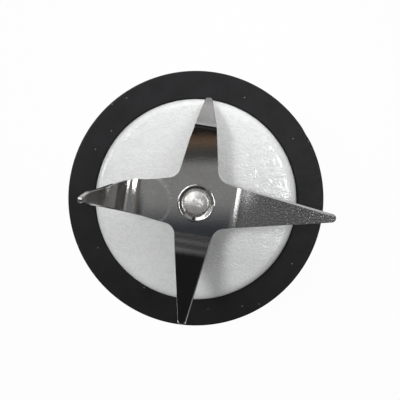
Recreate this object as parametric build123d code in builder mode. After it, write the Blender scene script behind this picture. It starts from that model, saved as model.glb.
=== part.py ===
"""Blender blade assembly: a bent four-arm blade on a riveted shaft, in a moulded base with a gasket.

Millimetres, +Z up. The origin lies on the spin axis, in the plane of the foot that the base stands on.
Seen from above, +X is to the right and +Y is up, and the four arms are named in that view.
"""

import os
from math import cos, radians, sin

from build123d import *

# Moulded base and its gasket
gasket_radius = 35.0
gasket_width = 7.5
gasket_thickness = 3.0
gasket_edge_chamfer = 0.4
gasket_clearance = 0.2
flange_inset = 0.5
flange_thickness = 3.0
flange_chamfer = 0.6
dome_rim_rise = 3.2
dome_crown_rise = 0.8
dome_edge_radius = 3.0
dome_wall = 2.8
dome_side_wall = 3.3
seal_boss_wall = 1.5
seal_boss_rise = 1.3
seal_boss_chamfer = 0.8
boss_wall = 3.0
boss_root_step = 0.8
foot_chamfer = 0.8
rib_count = 8
rib_thickness = 1.8
rib_setback = 1.0

# Shaft and bearing set
shaft_radius = 4.0
running_clearance = 0.04
seat_clearance = 0.02
bush_wall = 2.0
bush_length = 4.5
bush_chamfer = 0.4
felt_length = 3.0
felt_clearance = 0.1
sleeve_wall = 1.5
sleeve_groove_depth = 0.6
sleeve_groove_width = 1.6
thrust_washer_thickness = 0.6
wear_washer_thickness = 0.8
washer_clearance = 0.1
shaft_collar_clearance = 0.5
shaft_collar_thickness = 1.0
end_float = 0.15

# Seal over the bearings
seal_gap = 0.3
seal_wall = 2.5
seal_height = 3.3
seal_rim = 0.7
seal_lip = 0.8
seal_lip_relief = 0.4
seal_groove_depth = 1.8
seal_cap_thickness = 0.8
seal_cap_clearance = 0.6

# Collar under the blade
slinger_gap = 0.4
slinger_thickness = 1.0
slinger_width = 3.4
slinger_edge_chamfer = 0.3
collar_width = 2.6
collar_chamfer = 0.5

# Riveted head and its dished washer
tenon_radius = 2.6
tenon_half_flats = 2.2
rivet_washer_rim = 1.0
rivet_washer_floor = 0.6
rivet_washer_lip = 0.6
rivet_washer_edge_chamfer = 0.3
rivet_head_overlap = 0.65
rivet_head_edge = 0.3
rivet_head_rise = 1.2
rivet_head_clearance = 0.45

# Clip, coupling and the coupling's insert
ring_thickness = 0.9
ring_width = 2.0
ring_groove_depth = 0.6
ring_opening_angle = 100.0
coupling_lift = 1.0
coupling_gap = 0.4
coupling_clearance = 2.3
coupling_wall = 2.5
coupling_web = 1.0
coupling_edge_chamfer = 0.6
socket_depth = 6.2
socket_radius = 5.0
socket_lobe_radius = 1.7
socket_lobe_count = 6
insert_wall = 1.8
insert_length = 4.3
insert_flange_width = 1.0
insert_flange_thickness = 1.2
shaft_end_radius = 3.175
shaft_end_gap = 0.4
shaft_end_chamfer = 0.5

# Blade sheet, its hub and the ground bevel
blade_thickness = 1.0
blade_turn = 9.2
blade_tip_clearance = 0.5
hub_corner_radius = 3.0
tip_corner_radius = 0.95
tip_round_share = 0.55
bevel_start_width = 0.3
bevel_tip_width = 0.35
bevel_start_depth = 0.3
bevel_land = 0.5

# The two long arms and the two short arms: each edge's distance from the arm's axis at the hub, how far
# the plain edge sweeps past that axis at the tip, and the tip's width
long_plain_hub = 7.3
long_ground_hub = 6.85
long_tip_sweep = 1.35
long_tip_width = 1.7
short_plain_hub = 5.9
short_ground_hub = 6.5
short_tip_sweep = 0.1
short_tip_width = 1.8

# Each arm: flat stretch from the hub to the bend, radius on the upper face, angle and straight tip
right_flat = 2.2
right_bend_radius = 8.0
right_bend_up = 24.0
right_tip = 22.3
left_flat = 6.1
left_bend_radius = 11.3
left_bend_up = 76.0
left_tip = 6.7
top_flat = 11.2
top_bend_radius = 2.0
top_bend_down = 43.5
top_tip = 10.4
bottom_flat = 1.0
bottom_bend_radius = 8.0
bottom_bend_up = 33.0
bottom_tip = 17.6

# Radii that follow, from the shaft outwards
bush_bore = shaft_radius + running_clearance
seat_bore = shaft_radius + seat_clearance
washer_bore = shaft_radius + washer_clearance
bush_radius = shaft_radius + bush_wall
washer_radius = bush_radius - washer_clearance
sleeve_radius = bush_radius + sleeve_wall
seal_radius = shaft_radius + seal_wall
seal_boss_radius = seal_radius + seal_boss_wall
slinger_radius = shaft_radius + slinger_width
collar_radius = shaft_radius + collar_width
shaft_collar_radius = bush_radius - shaft_collar_clearance
ring_groove_radius = shaft_radius - ring_groove_depth
tenon_bore = tenon_radius + seat_clearance
rivet_head_radius = tenon_radius + rivet_head_overlap
rivet_dish_radius = rivet_head_radius + rivet_head_clearance
rivet_washer_radius = rivet_dish_radius + rivet_washer_rim
insert_bore = shaft_end_radius + seat_clearance
insert_radius = shaft_end_radius + insert_wall
insert_flange_radius = insert_radius + insert_flange_width
coupling_radius = socket_radius + socket_lobe_radius + coupling_wall
recess_radius = coupling_radius + coupling_clearance
boss_radius = recess_radius + boss_wall
boss_root_radius = boss_radius + boss_root_step

# Radii that follow, from the gasket inwards
gasket_bore = gasket_radius - gasket_width
flange_radius = gasket_radius - flange_inset
dome_radius = gasket_bore - gasket_clearance
pocket_radius = dome_radius - dome_side_wall

# Heights that follow, stacked upwards from the foot
socket_roof_z = coupling_lift + socket_depth
insert_base_z = socket_roof_z + coupling_web
shaft_end_z = insert_base_z + shaft_end_gap
coupling_top_z = insert_base_z + insert_length
insert_top_z = coupling_top_z + insert_flange_thickness
ring_z = insert_top_z + coupling_gap
lower_thrust_z = ring_z + ring_thickness
lower_wear_z = lower_thrust_z + thrust_washer_thickness
recess_roof_z = lower_wear_z + wear_washer_thickness + end_float
felt_z = recess_roof_z + bush_length
upper_bush_z = felt_z + felt_length
upper_thrust_z = upper_bush_z + bush_length
upper_wear_z = upper_thrust_z + thrust_washer_thickness
shaft_collar_z = upper_wear_z + wear_washer_thickness
seal_z = shaft_collar_z + shaft_collar_thickness + seal_gap
seal_cap_z = seal_z + seal_height
seal_boss_z = seal_cap_z + seal_cap_thickness
slinger_z = seal_boss_z + slinger_gap
collar_z = slinger_z + slinger_thickness

# Heights that follow, downwards from the seal boss to the flange
dome_crown_z = seal_boss_z - seal_boss_rise
dome_rim_z = dome_crown_z - dome_crown_rise
gasket_top_z = dome_rim_z - dome_rim_rise
flange_top_z = gasket_top_z - gasket_thickness
flange_under_z = flange_top_z - flange_thickness
pocket_roof_z = dome_rim_z - dome_wall

# The dome's crown is part of a sphere centred on the axis, through the rim and the foot of the seal boss
crown_centre_drop = (dome_radius**2 - seal_boss_radius**2 - dome_crown_rise**2) / (2.0 * dome_crown_rise)
crown_radius = (dome_radius**2 + crown_centre_drop**2) ** 0.5

# Heights that follow from the down-turned arm, whose tip clears the dome's rim
top_bend = radians(top_bend_down)
top_drop = top_bend_radius * (1.0 - cos(top_bend)) + top_tip * sin(top_bend)
blade_top_z = dome_rim_z + blade_tip_clearance + top_drop + blade_thickness * cos(top_bend)
blade_under_z = blade_top_z - blade_thickness
rivet_head_z = blade_top_z + rivet_washer_floor
rivet_edge_z = rivet_head_z + rivet_head_edge
rivet_top_z = rivet_edge_z + rivet_head_rise

# Roots that follow: an arm runs flat across the hub, past the edge of the bar that crosses it
long_root = max(short_plain_hub, short_ground_hub)
short_root = max(long_plain_hub, long_ground_hub)


class Arm:
    """One bent arm: its edges on the flat sheet, and where the bend carries its upper face."""

    def __init__(self, heading, edges, root, bend_radius, bend_angle, tip):
        plain_hub, ground_hub, tip_sweep, self.tip_width = edges
        self.heading = radians(heading - blade_turn)
        self.root = root
        self.bend_radius = bend_radius
        self.bend_angle = radians(bend_angle)
        self.bend_end = root + bend_radius * abs(self.bend_angle)
        self.length = self.bend_end + tip
        self.plain_hub = plain_hub
        self.ground_hub = ground_hub
        self.plain_slope = (-tip_sweep - plain_hub) / self.length
        self.ground_slope = (tip_sweep + self.tip_width - ground_hub) / self.length

    def plain_at(self, s):
        return self.plain_hub + self.plain_slope * s

    def ground_at(self, s):
        return self.ground_hub + self.ground_slope * s

    def flat_point(self, s, side):
        """Plan point at s along the flat arm and at side across it, counter-clockwise positive."""
        across = (-sin(self.heading), cos(self.heading))
        along = (cos(self.heading), sin(self.heading))
        return (s * along[0] + side * across[0], s * along[1] + side * across[1])

    def section_plane(self, s):
        """Plane across the bent arm at s along the sheet: x across it, y out of its upper face."""
        turn = self.bend_angle * min(1.0, max(0.0, (s - self.root) / (self.bend_end - self.root)))
        sign = 1.0 if self.bend_angle > 0.0 else -1.0
        beyond = max(0.0, s - self.bend_end)
        out = self.root + self.bend_radius * abs(sin(turn)) + beyond * cos(turn)
        up = sign * self.bend_radius * (1.0 - cos(turn)) + beyond * sin(turn)
        x, y = self.flat_point(out, 0.0)
        tangent = (cos(self.heading) * cos(turn), sin(self.heading) * cos(turn), sin(turn))
        across = (-sin(self.heading), cos(self.heading), 0.0)
        return Plane(origin=(x, y, blade_top_z + up), x_dir=across, z_dir=tangent)

    def bevel_at(self, s):
        """Width and depth of the bevel on the ground edge, which grows from the bend to the tip."""
        share = (s - self.root) / (self.length - self.root)
        width = bevel_start_width + (bevel_tip_width - bevel_start_width) * share
        depth = bevel_start_depth + (blade_thickness - bevel_land - bevel_start_depth) * share
        return width, depth

    def section_points(self, s):
        """Sheet section at s: full thickness, with the bevel on the ground edge."""
        width, depth = self.bevel_at(s)
        plain, ground = -self.plain_at(s), self.ground_at(s)
        return (
            (plain, 0.0),
            (ground - width, 0.0),
            (ground, -depth),
            (ground, -blade_thickness),
            (plain, -blade_thickness),
        )

    def bevel_points(self, s):
        """Corner that the bevel takes off the sheet section at s."""
        width, depth = self.bevel_at(s)
        ground = self.ground_at(s)
        return ((ground - width, 0.0), (ground, -depth), (ground, 0.0))

    def tip_plane(self):
        """Upper face of the straight tip: x along the arm from the end of the bend, y across it."""
        bent = self.section_plane(self.bend_end)
        return Plane(origin=bent.origin, x_dir=bent.z_dir, z_dir=bent.y_dir)

    def tip_points(self):
        """Outline of the straight tip on its upper face."""
        reach = self.length - self.bend_end
        return (
            (0.0, -self.plain_at(self.bend_end)),
            (reach, -self.plain_at(self.length)),
            (reach, self.ground_at(self.length)),
            (0.0, self.ground_at(self.bend_end)),
        )


long_edges = (long_plain_hub, long_ground_hub, long_tip_sweep, long_tip_width)
short_edges = (short_plain_hub, short_ground_hub, short_tip_sweep, short_tip_width)
arms = [
    Arm(0.0, long_edges, long_root + right_flat, right_bend_radius, right_bend_up, right_tip),
    Arm(90.0, short_edges, short_root + top_flat, top_bend_radius, -top_bend_down, top_tip),
    Arm(180.0, long_edges, long_root + left_flat, left_bend_radius, left_bend_up, left_tip),
    Arm(270.0, short_edges, short_root + bottom_flat, bottom_bend_radius, bottom_bend_up, bottom_tip),
]


def hub_corner(arm, following):
    """Inner corner between an arm's ground edge and the next arm's plain edge, with its fillet's radius."""
    slopes = arm.ground_slope * following.plain_slope
    side = (arm.ground_hub + arm.ground_slope * following.plain_hub) / (1.0 - slopes)
    s = following.plain_at(side)
    room = min(arm.root - s, following.root - side)
    return arm.flat_point(s, side), min(hub_corner_radius, room)


def edges_at(part, radius, z):
    """Circular edges of a turned part at one radius and height."""
    circles = part.edges().filter_by(GeomType.CIRCLE)
    return [e for e in circles if abs(e.radius - radius) < 1e-4 and abs(e.center().Z - z) < 1e-4]


os.makedirs("parts", exist_ok=True)

# Outer outline of the bearing sleeve, shared by the sleeve and the base moulded round it
sleeve_mid_z = (recess_roof_z + seal_z) / 2.0
sleeve_step = (seal_z - recess_roof_z) / 4.0
sleeve_floor_radius = sleeve_radius - sleeve_groove_depth
sleeve_outline = [(sleeve_radius, recess_roof_z)]
for groove_z in (sleeve_mid_z - sleeve_step, sleeve_mid_z + sleeve_step):
    low_z = groove_z - sleeve_groove_width / 2.0
    high_z = groove_z + sleeve_groove_width / 2.0
    sleeve_outline += [
        (sleeve_radius, low_z),
        (sleeve_floor_radius, low_z),
        (sleeve_floor_radius, high_z),
        (sleeve_radius, high_z),
    ]
sleeve_outline.append((sleeve_radius, seal_z))

# Base: foot, boss, ribbed flange and shallow dome, in one moulding
with BuildPart() as base_body:
    with BuildSketch(Plane.XZ) as base_profile:
        with BuildLine():
            Polyline(
                (recess_radius, 0.0),
                (boss_radius, 0.0),
                (boss_radius, flange_under_z),
                (boss_root_radius, flange_under_z),
                (boss_root_radius, pocket_roof_z),
                (pocket_radius, pocket_roof_z),
                (pocket_radius, flange_under_z),
                (flange_radius, flange_under_z),
                (flange_radius, flange_top_z),
                (dome_radius, flange_top_z),
                (dome_radius, dome_rim_z),
            )
            RadiusArc((dome_radius, dome_rim_z), (seal_boss_radius, dome_crown_z), -crown_radius)
            Polyline(
                (seal_boss_radius, dome_crown_z),
                (seal_boss_radius, seal_boss_z),
                (seal_radius, seal_boss_z),
                (seal_radius, seal_z),
                *reversed(sleeve_outline),
                (recess_radius, recess_roof_z),
                (recess_radius, 0.0),
            )
        make_face()
        dome_corner = base_profile.vertices().sort_by_distance((dome_radius, dome_rim_z, 0.0))[0]
        fillet(dome_corner, dome_edge_radius)
    revolve(axis=Axis.Z)
    chamfer(edges_at(base_body, seal_boss_radius, dome_crown_z), seal_boss_chamfer)
    flange_edges = edges_at(base_body, flange_radius, flange_under_z)
    flange_edges += edges_at(base_body, flange_radius, flange_top_z)
    chamfer(flange_edges, flange_chamfer)
    foot_edges = edges_at(base_body, boss_radius, 0.0)
    foot_edges += edges_at(base_body, recess_radius, 0.0)
    chamfer(foot_edges, foot_chamfer)
    rib_z = flange_under_z + rib_setback
    with BuildSketch(Plane.XY.offset(rib_z)):
        rib_length = pocket_radius - boss_root_radius + rib_thickness
        rib_middle = (pocket_radius + boss_root_radius) / 2.0
        with PolarLocations(rib_middle, rib_count, start_angle=180.0 / rib_count):
            Rectangle(rib_length, rib_thickness)
    extrude(amount=pocket_roof_z - rib_z)
base_body.part.label = "base_body"
export_step(base_body.part, "parts/base_body.step")

with BuildPart() as sealing_gasket:
    with BuildSketch(Plane.XY.offset(flange_top_z)):
        Circle(gasket_radius)
        Circle(gasket_bore, mode=Mode.SUBTRACT)
    extrude(amount=gasket_thickness)
    chamfer(sealing_gasket.edges().filter_by(GeomType.CIRCLE), gasket_edge_chamfer)
sealing_gasket.part.label = "sealing_gasket"
export_step(sealing_gasket.part, "parts/sealing_gasket.step")

with BuildPart() as bearing_sleeve:
    with BuildSketch(Plane.XZ):
        with BuildLine():
            Polyline(
                (bush_radius, recess_roof_z),
                *sleeve_outline,
                (bush_radius, seal_z),
                close=True,
            )
        make_face()
    revolve(axis=Axis.Z)
bearing_sleeve.part.label = "bearing_sleeve"
export_step(bearing_sleeve.part, "parts/bearing_sleeve.step")

for label, base_z in (("lower_bush", recess_roof_z), ("upper_bush", upper_bush_z)):
    with BuildPart() as bush:
        with BuildSketch(Plane.XY.offset(base_z)):
            Circle(bush_radius)
            Circle(bush_bore, mode=Mode.SUBTRACT)
        extrude(amount=bush_length)
        mouths = edges_at(bush, bush_bore, base_z) + edges_at(bush, bush_bore, base_z + bush_length)
        chamfer(mouths, bush_chamfer)
    bush.part.label = label
    export_step(bush.part, f"parts/{label}.step")

with BuildPart() as oil_felt:
    with BuildSketch(Plane.XY.offset(felt_z)):
        Circle(bush_radius - felt_clearance)
        Circle(shaft_radius + felt_clearance, mode=Mode.SUBTRACT)
    extrude(amount=felt_length)
oil_felt.part.label = "oil_felt"
export_step(oil_felt.part, "parts/oil_felt.step")

# Lip seal, open upwards, with only its lip close to the shaft
with BuildPart() as shaft_seal:
    lip_radius = bush_bore + seal_lip
    lip_base_z = seal_cap_z - seal_groove_depth
    with BuildSketch(Plane.XZ):
        with BuildLine():
            Polyline(
                (bush_bore + seal_lip_relief, seal_z),
                (seal_radius, seal_z),
                (seal_radius, seal_cap_z),
                (seal_radius - seal_rim, seal_cap_z),
                (seal_radius - seal_rim, lip_base_z),
                (lip_radius, lip_base_z),
                (lip_radius, seal_cap_z),
                (bush_bore, seal_cap_z),
                (bush_bore, lip_base_z),
                close=True,
            )
        make_face()
    revolve(axis=Axis.Z)
shaft_seal.part.label = "shaft_seal"
export_step(shaft_seal.part, "parts/shaft_seal.step")

with BuildPart() as seal_cap:
    with BuildSketch(Plane.XY.offset(seal_cap_z)):
        Circle(seal_radius)
        Circle(shaft_radius + seal_cap_clearance, mode=Mode.SUBTRACT)
    extrude(amount=seal_cap_thickness)
seal_cap.part.label = "seal_cap"
export_step(seal_cap.part, "parts/seal_cap.step")

washers = (
    ("lower_thrust_washer", lower_thrust_z, thrust_washer_thickness),
    ("lower_wear_washer", lower_wear_z, wear_washer_thickness),
    ("upper_thrust_washer", upper_thrust_z, thrust_washer_thickness),
    ("upper_wear_washer", upper_wear_z, wear_washer_thickness),
)
for label, base_z, thickness in washers:
    with BuildPart() as washer:
        with BuildSketch(Plane.XY.offset(base_z)):
            Circle(washer_radius)
            Circle(washer_bore, mode=Mode.SUBTRACT)
        extrude(amount=thickness)
    washer.part.label = label
    export_step(washer.part, f"parts/{label}.step")

# Shaft: screwed end, clip groove, thrust collar, flatted tenon and riveted head
with BuildPart() as drive_shaft:
    with BuildSketch(Plane.XZ):
        with BuildLine():
            Polyline(
                (0.0, shaft_end_z),
                (shaft_end_radius - shaft_end_chamfer, shaft_end_z),
                (shaft_end_radius, shaft_end_z + shaft_end_chamfer),
                (shaft_end_radius, insert_top_z),
                (shaft_radius, insert_top_z),
                (shaft_radius, ring_z),
                (ring_groove_radius, ring_z),
                (ring_groove_radius, lower_thrust_z),
                (shaft_radius, lower_thrust_z),
                (shaft_radius, shaft_collar_z),
                (shaft_collar_radius, shaft_collar_z),
                (shaft_collar_radius, shaft_collar_z + shaft_collar_thickness),
                (shaft_radius, shaft_collar_z + shaft_collar_thickness),
                (shaft_radius, blade_under_z),
                (0.0, blade_under_z),
                close=True,
            )
        make_face()
    revolve(axis=Axis.Z)
    with BuildSketch(Plane.XY.offset(blade_under_z)):
        Circle(tenon_radius)
        Rectangle(2.0 * tenon_half_flats, 2.0 * tenon_radius, rotation=-blade_turn, mode=Mode.INTERSECT)
    extrude(amount=rivet_head_z - blade_under_z)
    with BuildSketch(Plane.XZ):
        with BuildLine():
            cap_radius = (rivet_head_radius**2 + rivet_head_rise**2) / (2.0 * rivet_head_rise)
            Polyline(
                (0.0, rivet_top_z),
                (0.0, rivet_head_z),
                (rivet_head_radius, rivet_head_z),
                (rivet_head_radius, rivet_edge_z),
            )
            RadiusArc((rivet_head_radius, rivet_edge_z), (0.0, rivet_top_z), -cap_radius)
        make_face()
    revolve(axis=Axis.Z)
drive_shaft.part.label = "drive_shaft"
export_step(drive_shaft.part, "parts/drive_shaft.step")

with BuildPart() as rivet_washer:
    with BuildSketch(Plane.XY.offset(blade_top_z)):
        Circle(rivet_washer_radius)
        Circle(tenon_bore, mode=Mode.SUBTRACT)
    extrude(amount=rivet_washer_floor + rivet_washer_lip)
    with BuildSketch(Plane.XY.offset(rivet_head_z)):
        Circle(rivet_dish_radius)
    extrude(amount=rivet_washer_lip, mode=Mode.SUBTRACT)
    rim_z = rivet_head_z + rivet_washer_lip
    rim = edges_at(rivet_washer, rivet_washer_radius, rim_z)
    rim += edges_at(rivet_washer, rivet_dish_radius, rim_z)
    chamfer(rim, rivet_washer_edge_chamfer)
rivet_washer.part.label = "rivet_washer"
export_step(rivet_washer.part, "parts/rivet_washer.step")

with BuildPart() as slinger_washer:
    with BuildSketch(Plane.XY.offset(slinger_z)):
        Circle(slinger_radius)
        Circle(seat_bore, mode=Mode.SUBTRACT)
    extrude(amount=slinger_thickness)
    slinger_edges = edges_at(slinger_washer, slinger_radius, slinger_z)
    slinger_edges += edges_at(slinger_washer, slinger_radius, collar_z)
    chamfer(slinger_edges, slinger_edge_chamfer)
slinger_washer.part.label = "slinger_washer"
export_step(slinger_washer.part, "parts/slinger_washer.step")

with BuildPart() as blade_collar:
    with BuildSketch(Plane.XY.offset(collar_z)):
        Circle(collar_radius)
        Circle(seat_bore, mode=Mode.SUBTRACT)
    extrude(amount=blade_under_z - collar_z)
    chamfer(edges_at(blade_collar, collar_radius, blade_under_z), collar_chamfer)
blade_collar.part.label = "blade_collar"
export_step(blade_collar.part, "parts/blade_collar.step")

# Clip, seated on the floor of the shaft's groove
with BuildPart() as retaining_ring:
    with BuildSketch(Plane.XY.offset(ring_z)):
        Circle(ring_groove_radius + ring_width)
        Circle(ring_groove_radius + seat_clearance, mode=Mode.SUBTRACT)
        reach = 2.0 * (ring_groove_radius + ring_width)
        half_opening = radians(ring_opening_angle / 2.0)
        Polygon(
            (0.0, 0.0),
            (reach * cos(half_opening), reach * sin(half_opening)),
            (reach * cos(half_opening), -reach * sin(half_opening)),
            align=None,
            mode=Mode.SUBTRACT,
        )
    extrude(amount=ring_thickness)
retaining_ring.part.label = "retaining_ring"
export_step(retaining_ring.part, "parts/retaining_ring.step")

with BuildPart() as drive_coupling:
    with BuildSketch(Plane.XY.offset(coupling_lift)):
        Circle(coupling_radius)
    extrude(amount=coupling_top_z - coupling_lift)
    rims = edges_at(drive_coupling, coupling_radius, coupling_lift)
    rims += edges_at(drive_coupling, coupling_radius, coupling_top_z)
    chamfer(rims, coupling_edge_chamfer)
    with BuildSketch(Plane.XY.offset(coupling_lift)):
        Circle(socket_radius)
        with PolarLocations(socket_radius, socket_lobe_count):
            Circle(socket_lobe_radius)
    extrude(amount=socket_depth, mode=Mode.SUBTRACT)
    with BuildSketch(Plane.XY.offset(insert_base_z)):
        RegularPolygon(insert_radius, 6)
    extrude(amount=insert_length, mode=Mode.SUBTRACT)
drive_coupling.part.label = "drive_coupling"
export_step(drive_coupling.part, "parts/drive_coupling.step")

with BuildPart() as coupling_insert:
    with BuildSketch(Plane.XY.offset(insert_base_z)):
        RegularPolygon(insert_radius, 6)
    extrude(amount=insert_length)
    with BuildSketch(Plane.XY.offset(coupling_top_z)):
        Circle(insert_flange_radius)
    extrude(amount=insert_flange_thickness)
    with BuildSketch(Plane.XY.offset(insert_base_z)):
        Circle(insert_bore)
    extrude(amount=insert_top_z - insert_base_z, mode=Mode.SUBTRACT)
coupling_insert.part.label = "coupling_insert"
export_step(coupling_insert.part, "parts/coupling_insert.step")

# Blade: flat cross-shaped hub, then each arm's bend and straight tip, in one sheet
with BuildPart() as blade:
    with BuildSketch(Plane.XY.offset(blade_under_z)) as hub:
        for arm in arms:
            root = arm.root
            Polygon(
                arm.flat_point(0.0, -arm.plain_at(0.0)),
                arm.flat_point(root, -arm.plain_at(root)),
                arm.flat_point(root, arm.ground_at(root)),
                arm.flat_point(0.0, arm.ground_at(0.0)),
                align=None,
            )
        for arm, following in zip(arms, arms[1:] + arms[:1]):
            corner, corner_radius = hub_corner(arm, following)
            fillet(hub.vertices().sort_by_distance((*corner, 0.0))[0], corner_radius)
    extrude(amount=blade_thickness)
    with BuildSketch(Plane.XY.offset(blade_under_z)):
        Circle(tenon_bore)
        half_flats = tenon_half_flats + seat_clearance
        Rectangle(2.0 * half_flats, 2.0 * tenon_bore, rotation=-blade_turn, mode=Mode.INTERSECT)
    extrude(amount=blade_thickness, mode=Mode.SUBTRACT)
    for arm in arms:
        for share in (0.0, 0.25, 0.5, 0.75, 1.0):
            s = arm.root + share * (arm.bend_end - arm.root)
            with BuildSketch(arm.section_plane(s)):
                Polygon(*arm.section_points(s), align=None)
        loft()
        with BuildSketch(arm.tip_plane()) as tip_sheet:
            Polygon(*arm.tip_points(), align=None)
            tip_corners = tip_sheet.vertices().group_by(Axis.X)[-1]
            fillet(tip_corners, min(tip_corner_radius, tip_round_share * arm.tip_width))
        extrude(amount=-blade_thickness)
        for s in (arm.bend_end, arm.length):
            with BuildSketch(arm.section_plane(s)):
                Polygon(*arm.bevel_points(s), align=None)
        loft(ruled=True, mode=Mode.SUBTRACT)
blade.part.label = "blade"
export_step(blade.part, "parts/blade.step")
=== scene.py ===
# %% [markdown]
# # A blender's blade unit
#
# The real unit screws under a blender jar: a bent steel blade on a riveted shaft, a white moulded base,
# and a black rubber gasket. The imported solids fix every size, so this lesson only dresses them. It works
# in millimetres and multiplies by one factor when a mesh is written, because small whole numbers are
# easier to read than thousandths of a metre.

# %% Load the frame
import math

import bmesh
import bpy
import numpy as np
from mathutils import Matrix, Vector


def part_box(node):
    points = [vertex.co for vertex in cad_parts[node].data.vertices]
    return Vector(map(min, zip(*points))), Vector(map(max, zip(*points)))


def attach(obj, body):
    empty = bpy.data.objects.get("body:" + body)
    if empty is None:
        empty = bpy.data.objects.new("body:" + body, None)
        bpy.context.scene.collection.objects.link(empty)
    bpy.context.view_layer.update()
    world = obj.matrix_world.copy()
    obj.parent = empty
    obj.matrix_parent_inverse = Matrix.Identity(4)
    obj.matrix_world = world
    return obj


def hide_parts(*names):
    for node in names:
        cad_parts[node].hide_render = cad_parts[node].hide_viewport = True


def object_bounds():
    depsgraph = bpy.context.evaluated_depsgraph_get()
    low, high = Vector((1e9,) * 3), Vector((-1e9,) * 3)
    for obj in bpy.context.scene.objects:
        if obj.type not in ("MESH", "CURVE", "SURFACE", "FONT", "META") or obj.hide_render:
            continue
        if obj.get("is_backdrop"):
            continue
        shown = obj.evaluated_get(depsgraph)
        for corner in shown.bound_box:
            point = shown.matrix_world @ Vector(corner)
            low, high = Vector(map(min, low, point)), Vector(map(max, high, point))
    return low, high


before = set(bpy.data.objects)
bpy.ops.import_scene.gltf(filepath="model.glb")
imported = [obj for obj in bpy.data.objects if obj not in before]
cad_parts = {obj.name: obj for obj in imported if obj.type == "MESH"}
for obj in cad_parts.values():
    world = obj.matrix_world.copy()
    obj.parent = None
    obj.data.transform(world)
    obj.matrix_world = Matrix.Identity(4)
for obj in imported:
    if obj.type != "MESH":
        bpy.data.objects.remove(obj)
cad_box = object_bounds()
MM = 0.001
print("nodes in the frame:", len(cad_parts))


# %% [markdown]
# ## Camera
#
# The photograph was taken close above the unit, a little towards the top of the picture, so the arm that
# stands up leans outwards and the arm that is bent down looks short. A plain perspective camera gives
# this by itself: it is placed where the gasket's circle and the four tips fall on their pixels, with no
# lens shift.

# %% Place the camera
PHOTO_WIDTH = 400.0
FOCAL_PIXELS = 512.8
CAMERA_OVER = (-0.14, 8.67)
CAMERA_RISE = 140.0
AIM_AT = (1.05, 0.05)
CLIP_START = 10.0

gasket_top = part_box("sealing_gasket")[1].z / MM
camera_place = Vector((*CAMERA_OVER, gasket_top + CAMERA_RISE)) * MM
camera_aim = Vector((*AIM_AT, gasket_top)) * MM
camera = bpy.data.objects.new("camera", bpy.data.cameras.new("camera"))
bpy.context.scene.collection.objects.link(camera)
camera.location = camera_place
look = (camera_aim - camera_place).normalized()
right = look.cross(Vector((0.0, 1.0, 0.0))).normalized()
camera.rotation_euler = Matrix((right, right.cross(look), -look)).transposed().to_euler()
camera.data.lens = camera.data.sensor_width * FOCAL_PIXELS / PHOTO_WIDTH
camera.data.clip_start = CLIP_START * MM
bpy.context.scene.camera = camera
bpy.context.scene.view_settings.view_transform = "Standard"
print(f"camera {camera_place.z / MM:.0f} mm above the floor, lens {camera.data.lens:.1f} mm")


# %% [markdown]
# ## Surfaces from grids
#
# Every new piece is a surface of two parameters, worked out as one numpy array of points. One function
# turns such an array into a mesh. It merges the seam where a surface closes on itself and the poles where
# a row shrinks to a point, so that each piece of the unit is a closed skin. Edges that turn by more than
# a set angle stay crisp.

# %% Turn a grid of points into a piece
CRISP_ANGLE = math.radians(35.0)
MERGE_DISTANCE = 1e-7


def surface_piece(name, points, uv=None, slots=None):
    """Mesh from points[..., row, column, xyz] in millimetres: one quad between each four neighbours.

    The map holds a place for each point, and the slots a material's number for each quad.
    """
    grids = points.reshape(-1, *points.shape[-3:])
    index = np.arange(grids[..., 0].size).reshape(grids.shape[:-1])
    corners = (index[:, :-1, :-1], index[:, 1:, :-1], index[:, 1:, 1:], index[:, :-1, 1:])
    quads = np.stack(corners, axis=-1).reshape(-1, 4)
    mesh = bpy.data.meshes.new(name)
    mesh.vertices.add(index.size)
    mesh.vertices.foreach_set("co", (grids * MM).astype(np.float32).ravel())
    mesh.loops.add(quads.size)
    mesh.loops.foreach_set("vertex_index", quads.astype(np.int32).ravel())
    mesh.polygons.add(len(quads))
    mesh.polygons.foreach_set("loop_start", np.arange(0, quads.size, 4, dtype=np.int32))
    mesh.update(calc_edges=True)
    if slots is not None:
        mesh.polygons.foreach_set("material_index", slots.astype(np.int32).ravel())
    if uv is not None:
        layer = mesh.uv_layers.new(name="sheet")
        layer.uv.foreach_set("vector", uv.reshape(-1, 2)[quads.ravel()].astype(np.float32).ravel())
    shell = bmesh.new()
    shell.from_mesh(mesh)
    bmesh.ops.remove_doubles(shell, verts=shell.verts, dist=MERGE_DISTANCE)
    bmesh.ops.recalc_face_normals(shell, faces=shell.faces)
    shell.to_mesh(mesh)
    shell.free()
    mesh.shade_smooth()
    mesh.set_sharp_from_angle(angle=CRISP_ANGLE)
    piece = bpy.data.objects.new(name, mesh)
    bpy.context.scene.collection.objects.link(piece)
    print(f"{name}: {len(mesh.polygons)} faces")
    return piece


# %% [markdown]
# ## Nodes in one line
#
# Materials and the background are trees of nodes. Each node has to be made, set and wired, which takes a
# line for every socket when it is written out. One helper does all three, so that a node fits on a line
# and the trees below read like formulas.

# %% Add a node with its settings and wires
def add_node(tree, kind, inputs=None, **settings):
    """New node with its own settings, and a value or a wire for each input that is given.

    A wire is another node's socket, or that node itself where its first output is meant.
    """
    node = tree.nodes.new(kind)
    for setting, value in settings.items():
        setattr(node, setting, value)
    for name, value in (inputs or {}).items():
        socket = node.inputs[name]
        if isinstance(value, bpy.types.Node):
            value = value.outputs[0]
        if isinstance(value, bpy.types.NodeSocket):
            tree.links.new(value, socket)
        else:
            socket.default_value = (*value, 1.0) if socket.type == "RGBA" else value
    return node


def place_on(tree, source="Object"):
    """The place on a piece: Object gives its own coordinates, and UV its own map."""
    return add_node(tree, "ShaderNodeTexCoord").outputs[source]


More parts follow.
